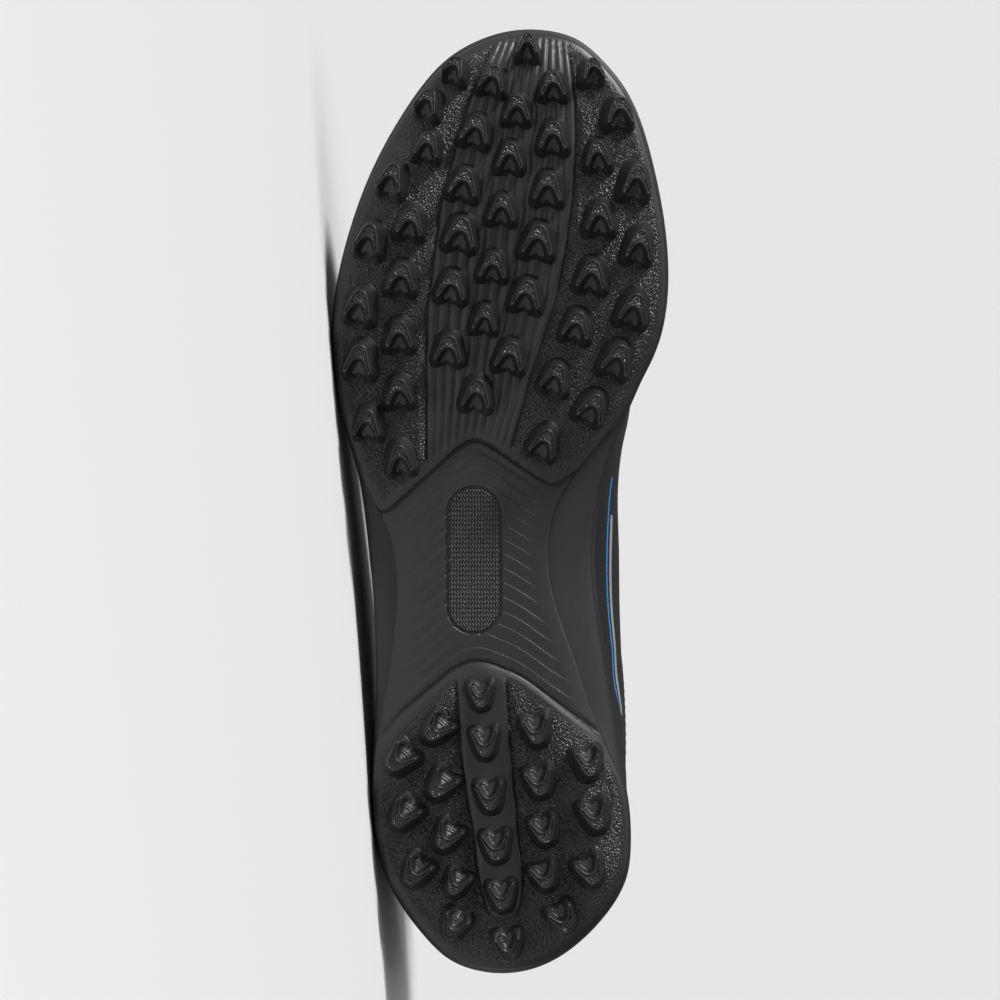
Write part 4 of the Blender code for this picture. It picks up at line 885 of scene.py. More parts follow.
def coated_textile(settings):
    """Polyurethane-coated textile: thin, matt and nearly black, embossed with short slanted ridges
    that give grip, with a broad weak highlight."""
    material, tree, shader = start_material("coated textile", settings.upper_colour, 0.50, IOR=1.50,
                                            Coat_Weight=0.12, Coat_Roughness=0.45)
    chart = chart_place(tree)
    place = object_place(tree)
    woven(tree, shader, 0.55 * MM, 0.020 * MM, chart)
    ridges = add_node(tree, "ShaderNodeTexWave", {"wave_type": "BANDS", "bands_direction": "DIAGONAL"},
                      Vector=chart, Scale=1.0 / (9.0 * MM), Distortion=1.5, Detail=1.0)
    grip = layer_value(tree, "grip")
    bump(tree, shader, reckon(tree, "MULTIPLY", ridges.outputs["Fac"], grip), 0.11 * MM)
    bump(tree, shader, noise(tree, place, 1.2 * MM, 6.0), 0.030 * MM)
    tint(tree, shader, settings.upper_colour, "#1d1d20", noise(tree, place, 40.0 * MM, 4.0))
    return material


def knit_lining(settings):
    """Brushed polyester knit: dark, dull, soft at its edges to the light, with fine loops, and painted shade
    that darkens the low parts of its weave.
    """
    material, tree, shader = start_material("knit lining", settings.lining_colour, 0.92,
                                            Sheen_Weight=0.45, Sheen_Roughness=0.5)
    chart = chart_place(tree)
    weave = woven(tree, shader, 0.9 * MM, 0.09 * MM, chart)
    # Painted shade: the colour goes darker where the weave's bump is low, as shade in its hollows.
    painted_weave_shade = add_node(tree, "ShaderNodeMapRange", Value=weave)
    painted_weave_shade.inputs["From Min"].default_value = -1.0
    tint(tree, shader, "#0e0e10", settings.lining_colour, painted_weave_shade.outputs["Result"])
    return material


def braided_tape(settings):
    """Flat polyester lace: two slants of tight braid that meet along the middle."""
    material, tree, shader = start_material("braided tape", settings.lace_colour, 0.78,
                                            Sheen_Weight=0.3, Sheen_Roughness=0.4)
    chart = chart_place(tree)
    parts = add_node(tree, "ShaderNodeSeparateXYZ", Vector=chart)
    slant = reckon(tree, "ADD", parts.outputs["X"], reckon(tree, "ABSOLUTE", parts.outputs["Y"]))
    wave = reckon(tree, "SINE", reckon(tree, "MULTIPLY", slant, 2.0 * math.pi / (1.1 * MM)))
    bump(tree, shader, wave, 0.09 * MM)
    return material


def plain_film(name, colour, roughness):
    """Thin welded polyurethane film: even in colour, with a soft gloss."""
    material, tree, shader = start_material(name, colour, roughness, IOR=1.50)
    bump(tree, shader, noise(tree, object_place(tree), 1.5 * MM, 4.0), 0.02 * MM)
    return material


def spun_thread(settings):
    """Bonded nylon sewing thread: round stitches with a twist, a little glossier than the cloth."""
    material, tree, shader = start_material("spun thread", settings.thread_colour, 0.48)
    twist = add_node(tree, "ShaderNodeTexWave", {"wave_type": "BANDS", "bands_direction": "DIAGONAL"},
                     Vector=object_place(tree), Scale=1.0 / (2.4 * MM))
    bump(tree, shader, twist.outputs["Fac"], 0.05 * MM)
    return material


MATERIALS = {}


def finish_of(name):
    """Each material is made once, from the scene's settings, when the first piece asks for it."""
    if name not in MATERIALS:
        colours = bpy.context.scene.turf_shoe_colours
        makers = {
            "rubber": lambda: moulded_rubber(colours),
            "knurl": lambda: knurled_rubber(colours),
            "foam": lambda: foam_skin(colours),
            "textile": lambda: coated_textile(colours),
            "lining": lambda: knit_lining(colours),
            "tape": lambda: braided_tape(colours),
            "thread": lambda: spun_thread(colours),
            "line film": lambda: plain_film("line film", colours.line_colour, 0.36),
            "band film": lambda: plain_film("band film", colours.band_colour, 0.42),
        }
        MATERIALS[name] = makers[name]()
    return MATERIALS[name]


# Outsole


def pad_end(rows, spacing):
    """The waist end of a pad, from the lateral side to the medial, its corners rounded."""
    corners = np.array(rows) * (LENGTH, BALL_WIDTH)
    points = [corners[0]]
    for before, corner, after in zip(corners, corners[1:], corners[2:]):
        reach = [min(4.0 * MM, 0.5 * np.linalg.norm(end - corner)) for end in (before, after)]
        start = corner + unit(before - corner) * reach[0]
        end = corner + unit(after - corner) * reach[1]
        for t in np.linspace(0.0, 1.0, 7):
            points.append(start * (1 - t) ** 2 + corner * 2 * t * (1 - t) + end * t ** 2)
    points = np.array(points + [corners[-1]])
    run = length_so_far(points)
    at = np.linspace(0.0, run[-1], int(round(run[-1] / spacing)) + 1)
    return read_at(at, run, points)


def pad_loop(rows, beyond):
    """Closed outline of a pad, drawn well past the sole's edge towards one end."""
    line = pad_end(rows, END_STEP)
    far = beyond * LENGTH
    return np.vstack([line, [(far, BALL_WIDTH), (far, -BALL_WIDTH)]])


def edges_at(rows, along):
    """Lateral and medial edge of a band at places along the foot, in metres."""
    table = np.array(rows)
    along = np.clip(along, table[0, 0], table[-1, 0])
    return (natural_spline(table[:, 0], table[:, 1], along) * BALL_WIDTH,
            natural_spline(table[:, 0], table[:, 2], along) * BALL_WIDTH)


def groove(distance, width):
    """1 on a groove's line, falling to 0 at half its width."""
    return np.clip(1.0 - np.abs(distance) / (width * 0.5), 0.0, 1.0)


def window_distance(points):
    """Distance to the edge of the window, positive inside: a bar with round ends."""
    centre = np.array(WINDOW_CENTRE) * (LENGTH, BALL_WIDTH)
    straight = WINDOW_HALF[0] - WINDOW_HALF[1]
    away = points - centre
    along = np.maximum(np.abs(away[:, 0]) - straight, 0.0)
    return WINDOW_HALF[1] - np.hypot(along, away[:, 1])


class SoleRelief:
    """Height and finish of the outsole's underside at any place in plan."""

    def __init__(self):
        turns = np.linspace(0.0, 2.0, SOLE_POINTS, endpoint=False)
        self.rim = outline(turns, 0)
        self.front = pad_loop(FOREFOOT_PAD_END, 1.2)
        self.back = pad_loop(HEEL_PAD_END, -0.2)

    def ground(self, points):
        """The pads' smooth underside, without its grooves."""
        along = points[:, 0] / LENGTH
        reach = 1.0 - np.maximum(distance_to_loop(points, self.rim), 0.0) / EDGE_REACH
        rise = EDGE_RISE * level(along, 3) * np.clip(reach, 0.0, 1.0) ** 2
        return SOLE_HEIGHT * level(along, 1) + rise

    def measure(self, points):
        """Height, then the amount of grain, then 1 in the window, for each point."""
        along = points[:, 0] / LENGTH
        rim = distance_to_loop(points, self.rim)
        front = distance_to_loop(points, self.front)
        back = distance_to_loop(points, self.back)
        height = self.ground(points)
        inner = smooth((rim - 0.8 * MM) / (1.6 * MM))
        outside = np.minimum(-front, -back)
        panel = np.clip(outside / (0.32 * MM), 0.0, 1.0)
        height += PAD_STEP * panel
        # Pads' ends: a broad bevel on the heel pad, a small round on the forefoot pad, and a
        # narrow trench at the foot of each.
        bevel = 0.9 * MM * np.clip(1.0 - back / (3.2 * MM), 0.0, 1.0) ** 1.6
        height += np.where(back > 0.0, bevel, 0.9 * MM * np.clip(1.0 + back / (0.32 * MM), 0.0, 1.0))
        round_end = 0.25 * MM * np.clip(1.0 - front / (0.5 * MM), 0.0, 1.0) ** 2
        height += round_end * (front > 0.0)
        trench = np.clip(np.minimum(outside / 0.3, (0.95 * MM - outside) / 0.25) / MM, 0.0, 1.0)
        height += 0.55 * MM * trench * smooth((rim - 0.4 * MM) / (1.2 * MM))
        # Forefoot band: strips between grooves that follow its edges.
        low, high = edges_at(BAND_EDGES, along)
        width = high - low
        place = (points[:, 1] - low) / width
        in_band = (place > 0.0) & (place < 1.0) & (front > 0.0)
        count = BAND_STRIPS
        strip = place * count
        to_line = np.abs(strip - np.round(strip)) * width / count
        near = (place > -0.03) & (place < 1.03) & (front > 0.0)
        fade = smooth((front - 1.2 * MM) / (2.5 * MM)) * inner
        height += 0.34 * MM * np.minimum(groove(to_line, 0.84 * MM) * 1.6, 1.0) * near * fade
        height -= 0.10 * MM * in_band * (1.0 - (to_line * 2.0 * count / width - 1.0) ** 2) * fade
        edge = np.minimum(np.abs(points[:, 1] - low), np.abs(points[:, 1] - high))
        height += 0.25 * MM * np.minimum(groove(edge, 0.84 * MM) * 1.6, 1.0) * near * fade
        band = smooth(np.minimum(points[:, 1] - low, high - points[:, 1]) / (0.5 * MM) + 0.5)
        height -= 0.12 * MM * band * (front > 0.0) * fade
        # Heel bar: raised between two grooves, rounded at the heel.
        low, high = edges_at(BAR_EDGES, along)
        half = (high - low) * 0.5
        beyond = np.maximum(BAR_EDGES[1][0] * LENGTH - points[:, 0], 0.0)
        side = half - np.hypot(points[:, 1] - (low + high) * 0.5, beyond * BAR_ROUND)
        bar = smooth(side / (0.5 * MM) + 0.5) * (back > 0.0)
        bar_fade = smooth((back - 1.5 * MM) / (3.0 * MM))
        height -= 0.38 * MM * bar * bar_fade
        line = np.minimum(groove(side + 0.38 * MM, 0.66 * MM) * 1.5, 1.0)
        height += 0.45 * MM * line * (back > 0.0) * bar_fade
        # Midfoot panel: low terraces that go from one pad's end to the other's.
        window = window_distance(points)
        terrace, fading = self.terraces(points)
        plain = smooth((-window - 1.0 * MM) / (0.8 * MM))
        height += 0.30 * MM * terrace * panel * fading * plain
        border = np.minimum(window + 1.1 * MM, -window) / RISER
        height += 0.75 * MM * np.clip(border, 0.0, 1.0) * panel
        height += 0.10 * MM * (window > -0.02 * MM) * panel
        grain = (1.0 - panel) * (1.0 - np.maximum(band * (front > 0.0), bar))
        grain *= smooth((rim - 1.1 * MM) / (1.8 * MM))
        grain *= smooth((np.maximum(front, back) - 1.8 * MM) / (1.8 * MM))
        return height, grain, window

    def terraces(self, points):
        """Slow rise and quick fall between the two pads' ends, and its strength at the sides."""
        share, width = self.contour_share(points)
        step = share * CONTOURS
        part = step - np.floor(step)
        fall = RISER / (width / CONTOURS)
        saw = np.where(part < 1.0 - fall, part / (1.0 - fall), (1.0 - part) / fall)
        rim = distance_to_loop(points, self.rim)
        strength = smooth((rim - 3.0 * MM) / (5.0 * MM))
        strength *= smooth((share - 0.02) / 0.03) * smooth((1.02 - share) / 0.03)
        return saw, strength

    def contour_share(self, points):
        """0 at the forefoot pad's end, 1 at the heel pad's, and the way between the two ends."""
        near, far = self.panel_ends(points[:, 1])
        width = np.maximum(near - far, 1e-6)
        return (near - points[:, 0]) / width, width

    def panel_ends(self, across):
        """Places along the foot where the midfoot panel starts and ends, for places across."""
        front = pad_end(FOREFOOT_PAD_END[3:], END_STEP)
        back = pad_end(HEEL_PAD_END[1:], END_STEP)
        return np.interp(across, front[:, 1], front[:, 0]), np.interp(across, back[:, 1], back[:, 0])

    def plan(self):
        """Points in plan, close together along every groove and edge; the rim comes first."""
        sets = [self.rim]
        sets += [offset_loop(self.rim, amount * MM) for amount in (0.5, 1.1, 2.0, 3.2, 4.6)]
        for rows in (FOREFOOT_PAD_END, HEEL_PAD_END):
            line = pad_end(rows, 0.7 * MM)
            lean = unit(np.gradient(line, axis=0))
            normal = np.column_stack([lean[:, 1], -lean[:, 0]])
            if rows is HEEL_PAD_END:
                normal = -normal
            for amount in (-3.2, -2.2, -1.3, -0.7, -0.35, 0.0, 0.16, 0.32, 0.7, 0.95, 1.25):
                sets.append(line + normal * amount * MM)
        along = np.arange(0.545, 0.995, 0.0036)
        low, high = edges_at(BAND_EDGES, along)
        for k in range(BAND_STRIPS + 1):
            middle = low + (high - low) * k / BAND_STRIPS
            for shift in (-0.42, -0.22, 0.0, 0.22, 0.42):
                sets.append(np.column_stack([along * LENGTH, middle + shift * MM]))
        along = np.arange(0.066, 0.34, 0.0030)
        low, high = edges_at(BAR_EDGES, along)
        for line, out in ((low, -1.0), (high, 1.0)):
            for shift in (-0.3, 0.0, 0.16, 0.38, 0.6, 0.76):
                sets.append(np.column_stack([along * LENGTH, line + out * shift * MM]))
        angles = np.radians(np.arange(90.0, 271.0, 6.0))
        low, high = edges_at(BAR_EDGES, BAR_EDGES[1][0])
        for shift in (-0.3, 0.0, 0.16, 0.38, 0.6, 0.76):
            radius = (high - low) * 0.5 + shift * MM
            sets.append(np.column_stack([BAR_EDGES[1][0] * LENGTH + np.cos(angles) * radius / BAR_ROUND,
                                         (low + high) * 0.5 + np.sin(angles) * radius]))
        across = np.arange(-0.40, 0.40, 0.0080) * BALL_WIDTH
        near, far = self.panel_ends(across)
        for k in range(1, CONTOURS):
            middle = near - (near - far) * k / CONTOURS
            for shift in (-0.16, 0.0, 0.16, 0.36):
                sets.append(np.column_stack([middle + shift * MM, across]))
        centre = np.array(WINDOW_CENTRE) * (LENGTH, BALL_WIDTH)
        for shift in (1.35, 1.1, 0.94, 0.16, 0.0, -0.3):
            sets.append(centre + stadium(WINDOW_HALF[0] + shift * MM, WINDOW_HALF[1] + shift * MM))
        rest = np.vstack(sets[1:])
        grid = plan_grid(1.7 * MM, 0.0165)
        keep = distance_to_loop(rest, self.rim) > 0.30 * MM
        rest = rest[keep]
        cells = set()
        for x, y in np.floor(rest / (0.6 * MM)).astype(int):
            cells.update((x + i, y + j) for i in (-1, 0, 1) for j in (-1, 0, 1))
        free = np.array([p for p in grid if tuple(np.floor(p / (0.6 * MM)).astype(int)) not in cells])
        free = free[distance_to_loop(free, self.rim) > 0.6 * MM]
        return np.vstack([self.rim, thinned(rest, 0.11 * MM), free])


def plan_grid(along_step, across_step):
    """Even points over the whole sole: a length apart along it, a share of its width across."""
    return np.array([(x, y) for x in np.arange(0.0, LENGTH, along_step)
                     for y in np.arange(-0.55, 0.55, across_step) * BALL_WIDTH])


def stadium(half_length, half_width):
    """Closed outline of a bar with round ends about the origin."""
    straight = half_length - half_width
    angles = np.radians(np.arange(-90.0, 91.0, 6.0))
    end = np.column_stack([straight + half_width * np.cos(angles), half_width * np.sin(angles)])
    side = np.linspace(straight, -straight, 40)[1:-1]
    top = np.column_stack([side, np.full(len(side), half_width)])
    return np.vstack([end, top, -end, -top])


def thinned(points, spacing):
    """The points without those that share a small cell with an earlier one."""
    seen, kept = set(), []
    for point in points:
        cell = (int(math.floor(point[0] / spacing)), int(math.floor(point[1] / spacing)))
        if cell not in seen:
            seen.add(cell)
            kept.append(point)
    return np.array(kept)


def build_sole_sheet():
    """The moulded sheet: relief below, a rounded edge and a plain lid on which the midsole stands."""
    relief = SoleRelief()
    plan = relief.plan()
    spots, faces = triangulate(plan, len(relief.rim))
    height, grain, window = relief.measure(spots)
    points = [np.column_stack([spots, height])]
    count = len(relief.rim)
    top = relief.ground(relief.rim) + PAD_STEP + SHEET
    low = height[:count]
    quads, first = [], len(spots)
    # The sheet's edge: a small round below, a straight side, and the top, turned in a little.
    for share, inset in ((0.10, -0.10), (0.35, -0.16), (0.75, -0.10), (1.0, 0.25)):
        ring = offset_loop(relief.rim, inset * MM)
        points.append(np.column_stack([ring, low + (top - low) * share]))
    layers = 4
    names = [np.arange(count)] + [first + np.arange(count) + count * k for k in range(layers)]
    for low_ring, high_ring in zip(names, names[1:]):
        for i in range(count):
            j = (i + 1) % count
            quads.append((low_ring[i], low_ring[j], high_ring[j], high_ring[i]))
    rim_top = offset_loop(relief.rim, 0.25 * MM)
    grid = plan_grid(8.0 * MM, 0.08)
    grid = grid[distance_to_loop(grid, rim_top) > 3.0 * MM]
    lid_spots, lid_faces = triangulate(np.vstack([rim_top, grid]), count)
    first_lid = first + layers * count
    lid_z = relief.ground(lid_spots[count:]) + PAD_STEP + SHEET
    points.append(np.column_stack([lid_spots[count:], lid_z]))
    rename = np.concatenate([names[-1], first_lid + np.arange(len(lid_spots) - count)])
    points = np.vstack(points)
    extra = len(points) - len(spots)
    every = [tuple(face) for face in faces] + quads + [tuple(rename[list(face)]) for face in lid_faces]
    middle = window[faces].mean(axis=1)
    zones = np.concatenate([(middle > 0.0).astype(int), np.zeros(len(every) - len(faces), int)])
    chart = points[:, :2]
    return make_piece("outsole_sheet", points, every, [finish_of("rubber"), finish_of("knurl")], zones,
                      {"grain": np.concatenate([grain, np.zeros(extra)])}, chart,
                      node="outsole")


def finished_stud():
    """Template of one stud: plan in shares, heights in shares, grain and triangles."""
    size = np.array(STUD_SIZE)
    base = resample(mirrored(STUD_BASE) * size, 0.85 * MM, closed=True)
    top = resample(mirrored(STUD_TOP) * size, 0.45 * MM, closed=True)
    pocket = mirrored(STUD_POCKET) * size
    sets = [offset_loop(base, 0.35 * MM), offset_loop(base, 0.8 * MM)]
    sets += [offset_loop(top, amount * MM) for amount in (-0.45, -0.12, 0.10, 0.28, 0.50)]
    grid = np.array([(x, y) for x in np.arange(-6.0, 6.1, 0.75) * MM
                     for y in np.arange(-6.6, 6.6, 0.75) * MM])
    grid = grid[distance_to_loop(grid, base) > 1.2 * MM]
    grid = grid[np.abs(distance_to_loop(grid, top)) > 0.75 * MM]
    ribs = np.array([(x, y) for x in np.arange(-2.5, 2.6, 0.5) * MM
                     for y in np.arange(-0.45, 0.03, 0.0117) * size[1]])
    ribs = ribs[distance_to_loop(ribs, pocket) > 0.3 * MM]
    ribs = ribs[distance_to_loop(ribs, top) < -0.5 * MM]
    rest = np.vstack(sets + [ribs, grid])
    rest = rest[distance_to_loop(rest, base) > 0.25 * MM]
    spots, faces = triangulate(np.vstack([base, thinned(rest, 0.16 * MM)]), len(base))
    to_base = np.maximum(distance_to_loop(spots, base), 0.0)
    to_top = distance_to_loop(spots, top)
    # The wall rises from a round foot to the rim, which stands a little above the grained top.
    foot = 0.24
    share = np.clip(to_base / np.maximum(to_base - np.minimum(to_top, 0.0), 1e-9), 0.0, 1.0)
    wall = np.where(share < foot, share ** 2 / (2.0 * foot), share - foot / 2.0) / (1.0 - foot / 2.0)
    height = np.where(to_top > 0.0, 1.0, wall - 0.10 * smooth((share - 0.78) / 0.22) * (1.0 - share) / 0.22)
    height -= 0.048 * smooth((to_top - 0.26 * MM) / (0.24 * MM))
    # The pocket's floor climbs in four small steps away from its mouth.
    along = spots[:, 1] / size[1]
    floor = np.interp(along, POCKET_ALONG, POCKET_FLOOR)
    step = (along + 0.385) / 0.068
    stepped = smooth((-0.10 - along) / 0.03) * smooth((along + 0.39) / 0.02)
    floor += 0.055 * (0.5 - (step - np.floor(step))) * stepped
    deep = np.maximum(distance_to_loop(spots, pocket), 0.0)
    hollow = floor + (1.0 - floor) * np.clip(1.0 - deep / (1.35 * MM), 0.0, 1.0) ** 1.7
    height = np.where(to_top > 0.0, height, np.minimum(height, hollow))
    grain = smooth((to_top - 0.30 * MM) / (0.22 * MM))
    return spots / size, height, grain, faces


def build_studs():
    """The studs of both pads, each leaned square to the sole under it and sunk a little into it."""
    relief = SoleRelief()
    spots, rise, grain, faces = finished_stud()
    for name, columns in (("forefoot_studs", FOREFOOT_STUDS), ("heel_studs", HEEL_STUDS)):
        points, every, grains = [], [], []
        for plan in stud_plans(columns, spots):
            ground = relief.ground(plan)
            middle = plan.mean(axis=0)
            probe = middle + np.array([(1.0, 0.0), (-1.0, 0.0), (0.0, 1.0), (0.0, -1.0)]) * 2.0 * MM
            z = relief.ground(probe)
            lean = np.array([z[0] - z[1], z[2] - z[3]]) / (4.0 * MM)
            moved = plan + lean * (rise * STUD_HEIGHT * 0.7)[:, None]
            sink = 0.12 * MM * (1.0 - smooth(rise / 0.05))
            first = sum(len(some) for some in points)
            points.append(np.column_stack([moved, ground + sink - rise * STUD_HEIGHT]))
            every += [tuple(face + first) for face in faces]
            grains.append(grain)
        points = np.vstack(points)
        make_piece(name, points, every, [finish_of("rubber")], layers={"grain": np.concatenate(grains)})


def stud_plans(columns, template):
    """Plan of the template at each stud of some columns, in metres."""
    scale = np.array([LENGTH * FOOT_RATIO, BALL_WIDTH])
    plans = []
    for _, along, across, widths, lengths, turns in columns:
        angles = np.radians(np.linspace(turns[0], turns[1], len(along)))
        for u, v, width, length, angle in zip(along, across, widths, lengths, angles):
            aside, ahead = template[:, 0] * width, template[:, 1] * length
            plan = np.column_stack([ahead * math.cos(angle) - aside * math.sin(angle),
                                    ahead * math.sin(angle) + aside * math.cos(angle)])
            plans.append(plan * scale + (u * LENGTH, v * BALL_WIDTH))
    return plans


# Midsole and insole


def build_midsole():
    """The foam: a rolled side wall from the outsole's edge to the rim, closed below and above."""
    count = SOLE_POINTS
    turns = np.linspace(0.0, 2.0, count, endpoint=False)
    rim, side = outline(turns, 0), outline(turns, 1)
    relief = SoleRelief()
    edge = rim - inward(rim) * 0.4 * MM
    edge_z = relief.ground(rim) + PAD_STEP + SHEET + FIT_GAP
    rim_z = rim_height(turns)
    foot = foot_loop(turns)
    tuck = inward(side)
    low = edge + (side - edge) * 0.62 - tuck * 0.2 * MM
    lip = foot[:, :2] - tuck * 0.7 * MM
    knots = (0.0, 0.16, 0.45, 0.78, 0.97)
    sections = np.array([edge, low, side, side, lip - tuck * 0.9 * MM])
    shares = np.array([0.0, 0.03, 0.08, 0.16, 0.24, 0.30, 0.35, 0.40, 0.45, 0.50, 0.56, 0.64, 0.72,
                       0.78, 0.81, 0.84, 0.87, 0.92, 0.97])
    rings = natural_spline(knots, sections.reshape(5, -1), shares).reshape(len(shares), count, 2)
    medial = smooth((np.sin(math.pi * (turns - 1.0)) - 0.1) / 0.5)
    waist = smooth(1.0 - np.abs(along_of(turns) - 0.42) / 0.30)
    points = []
    for share, ring in zip(shares, rings):
        crease = 0.7 * MM * groove(share - 0.40, 0.22) * medial * waist
        line = 0.45 * MM * groove(share - 0.84, 0.07)
        moved = ring + tuck * (crease + line)[:, None]
        points.append(np.column_stack([moved, edge_z + (rim_z - edge_z) * share]))
    points.append(np.column_stack([lip, rim_z]))
    ledge = foot[:, :2] + tuck * (UPPER_WALL + 1.0 * MM)
    points.append(np.column_stack([ledge, rim_z]))
    rows = len(points)
    faces = grid_faces(rows, count, wrap_columns=True)
    points = np.vstack(points)
    for start, loop, height in ((0, edge, lambda p: relief.ground(p) + PAD_STEP + SHEET + FIT_GAP),
                                ((rows - 1) * count, ledge, foot_bed)):
        points, faces = close_with_lid(points, faces, start, loop, height)
    return make_piece("midsole_foam", points, faces, [finish_of("foam")], node="midsole")


def close_with_lid(points, faces, start, loop, height):
    """Adds a coarse surface over the ring of points that starts at one number."""
    count = len(loop)
    grid = plan_grid(7.0 * MM, 0.07)
    grid = grid[distance_to_loop(grid, loop) > 2.5 * MM]
    spots, lid = triangulate(np.vstack([loop, grid]), count)
    rename = np.concatenate([start + np.arange(count), len(points) + np.arange(len(spots) - count)])
    points = np.vstack([points, np.column_stack([spots[count:], height(spots[count:])])])
    return points, list(faces) + [tuple(rename[list(face)]) for face in lid]


def build_insole():
    """The foot bed: a thin pad, a little thicker round its edge."""
    count = INSOLE_POINTS
    turns = np.linspace(0.0, 2.0, count, endpoint=False)
    foot = foot_loop(turns)
    ledge = foot[:, :2] + inward(outline(turns, 1)) * (UPPER_WALL + 1.0 * MM)
    low_z = rim_height(turns) + FIT_GAP
    points = []
    for inset, share in ((0.9, 0.0), (0.4, 0.15), (0.4, 0.75), (0.8, 0.95), (1.4, 1.0)):
        ring = offset_loop(ledge, inset * MM)
        points.append(np.column_stack([ring, low_z + INSOLE_THICK * share]))
    rows = len(points)
    faces = grid_faces(rows, count, wrap_columns=True)
    points = np.vstack(points)
    points, faces = close_with_lid(points, faces, 0, points[:count, :2], lambda p: foot_bed(p) + FIT_GAP)
    last = (rows - 1) * count

    def cloth(spots):
        away = distance_to_loop(spots, ledge)
        return foot_bed(spots) + FIT_GAP + INSOLE_THICK + 0.8 * MM * (1.0 - smooth(away / (12.0 * MM)))

    points, faces = close_with_lid(points, faces, last, points[last:last + count, :2], cloth)
    return make_piece("insole_bed", points, faces, [finish_of("lining")], uv=points[:, :2],
                      node="insole")


# Upper


CREASES = (
    # share of LENGTH at the foot, depth and half width in mm, reach up the wall
    (0.615, 0.55, 5.0, 0.95),
    (0.660, 0.45, 4.0, 0.80),
    (0.705, 0.35, 4.0, 0.70),
    (0.300, 0.40, 6.0, 0.55),
)


def crease_depth(turns, shares):
    """Soft troughs across the flex of the forefoot and below the ankle, with ridges beside them."""
    along = along_of(turns)
    depth = np.zeros(np.shape(shares))
    for place, deep, half, reach in CREASES:
        away = (along - place - 0.05 * shares) * LENGTH / (half * MM)
        fade = smooth(shares / 0.25) * smooth((reach - shares) / 0.35)
        depth += deep * MM * (np.exp(-away ** 2) - 0.45 * np.exp(-(np.abs(away) - 1.7) ** 2)) * fade
    return depth


def build_upper():
    """The hollow upper: coated outside with a stepped band, padded lining inside, eyelets cut through."""
    count = UPPER_POINTS
    turns = np.linspace(0.0, 2.0, count, endpoint=False)
    start = band_share(turns)
    rows = [(start * share, 0.0) for share in np.linspace(0.0, 0.985, 38)]
    rows += [(start * 0.993, 0.25), (start, 0.80), (start + (1.0 - start) * 0.03, 1.0)]
    rows += [(start + (1.0 - start) * share, 1.0) for share in np.linspace(0.10, 0.86, 11)]
    rows += [(start + (1.0 - start) * share, lift)
             for share, lift in ((0.91, 0.85), (0.96, 0.5), (0.99, 0.1))]
    points, charts, grip = [], [], []
    previous, up = None, np.zeros(count)
    around = length_so_far(foot_loop_at(turns))
    for shares, lift in rows:
        surface = upper_surface(turns, shares)
        normal = upper_normal(turns, shares)
        if np.max(shares) == 0.0:
            normal[:, 2] = 0.0
            normal = unit(normal)
        moved = surface + normal * (BAND_STEP * lift - crease_depth(turns, shares))[:, None]
        if previous is not None:
            up = up + np.linalg.norm(surface - previous, axis=1)
        previous = surface
        points.append(moved)
        charts.append(np.column_stack([around, up]))
        along = along_of(turns)
        grip.append(smooth((along - 0.50) / 0.10) * smooth((shares - 0.10) / 0.2)
                    * smooth((start - shares) / 0.15))
    outer = len(points)
    inner = [(1.0, 0.4)] + [(share, 1.0) for share in np.linspace(0.97, 0.0, 26)]
    for share, part in inner:
        surface = upper_surface(turns, np.full(count, share))
        normal = upper_normal(turns, np.full(count, share))
        pad = np.clip((share - start) / (1.0 - start), 0.0, 1.0)
        ankle = np.clip(1.0 - np.abs(along_of(turns) - 0.16) / 0.22, 0.0, 1.0)
        wall = UPPER_WALL + COLLAR_PAD * np.sin(pad * math.pi * 0.8) * ankle
        points.append(surface - normal * (wall * part)[:, None])
        charts.append(np.column_stack([around, up]))
        up = up + 3.0 * MM
        grip.append(np.zeros(count))
    total = len(points)
    faces = grid_faces(total, count, wrap_columns=True, wrap_rows=True)
    zones = [0 if i < (outer - 1) * count else 1 for i in range(len(faces))]
    body = make_piece("upper_shell", np.vstack(points), faces, [finish_of("textile"), finish_of("lining")],
                      zones, {"grip": np.concatenate(grip)}, np.vstack(charts), node="upper")
    cutter = eyelet_cutter()
    holes = body.modifiers.new("eyelets", "BOOLEAN")
    holes.operation = "DIFFERENCE"
    holes.solver = "EXACT"
    holes.object = cutter
    with bpy.context.temp_override(object=body, active_object=body, selected_objects=[body]):
        bpy.ops.object.modifier_apply(modifier=holes.name)
    bpy.data.objects.remove(cutter, do_unlink=True)
    body.data.shade_smooth()
    return body


def ring_about(centre, normal, radius, lift, count=24):
    """Points of a circle about a normal, moved along it."""
    turn = Vector(normal).to_track_quat("Z", "Y").to_matrix()
    angles = np.linspace(0.0, 2.0 * math.pi, count, endpoint=False)
    return np.array([Vector(centre) + turn @ Vector((math.cos(a) * radius, math.sin(a) * radius, lift))
                     for a in angles])


def eyelet_cutter():
    """Round bars through the wall at the eyelets."""
    points, faces = [], []
    for centres, normals in eyelet_frames():
        for centre, normal in zip(centres, normals):
            first = len(points) * 24
            points += [ring_about(centre, normal, EYELET_BORE * 0.5, lift) for lift in (-0.006, 0.004)]
            faces += grid_faces(2, 24, wrap_columns=True, first=first)
            faces += [tuple(range(first, first + 24))[::-1], tuple(range(first + 24, first + 48))]
    mesh = bpy.data.meshes.new("eyelet_cutter")
    mesh.from_pydata(to_frame(np.vstack(points)).tolist(), [], faces)
    turn_faces_out(mesh)
    return place_object("eyelet_cutter", mesh)


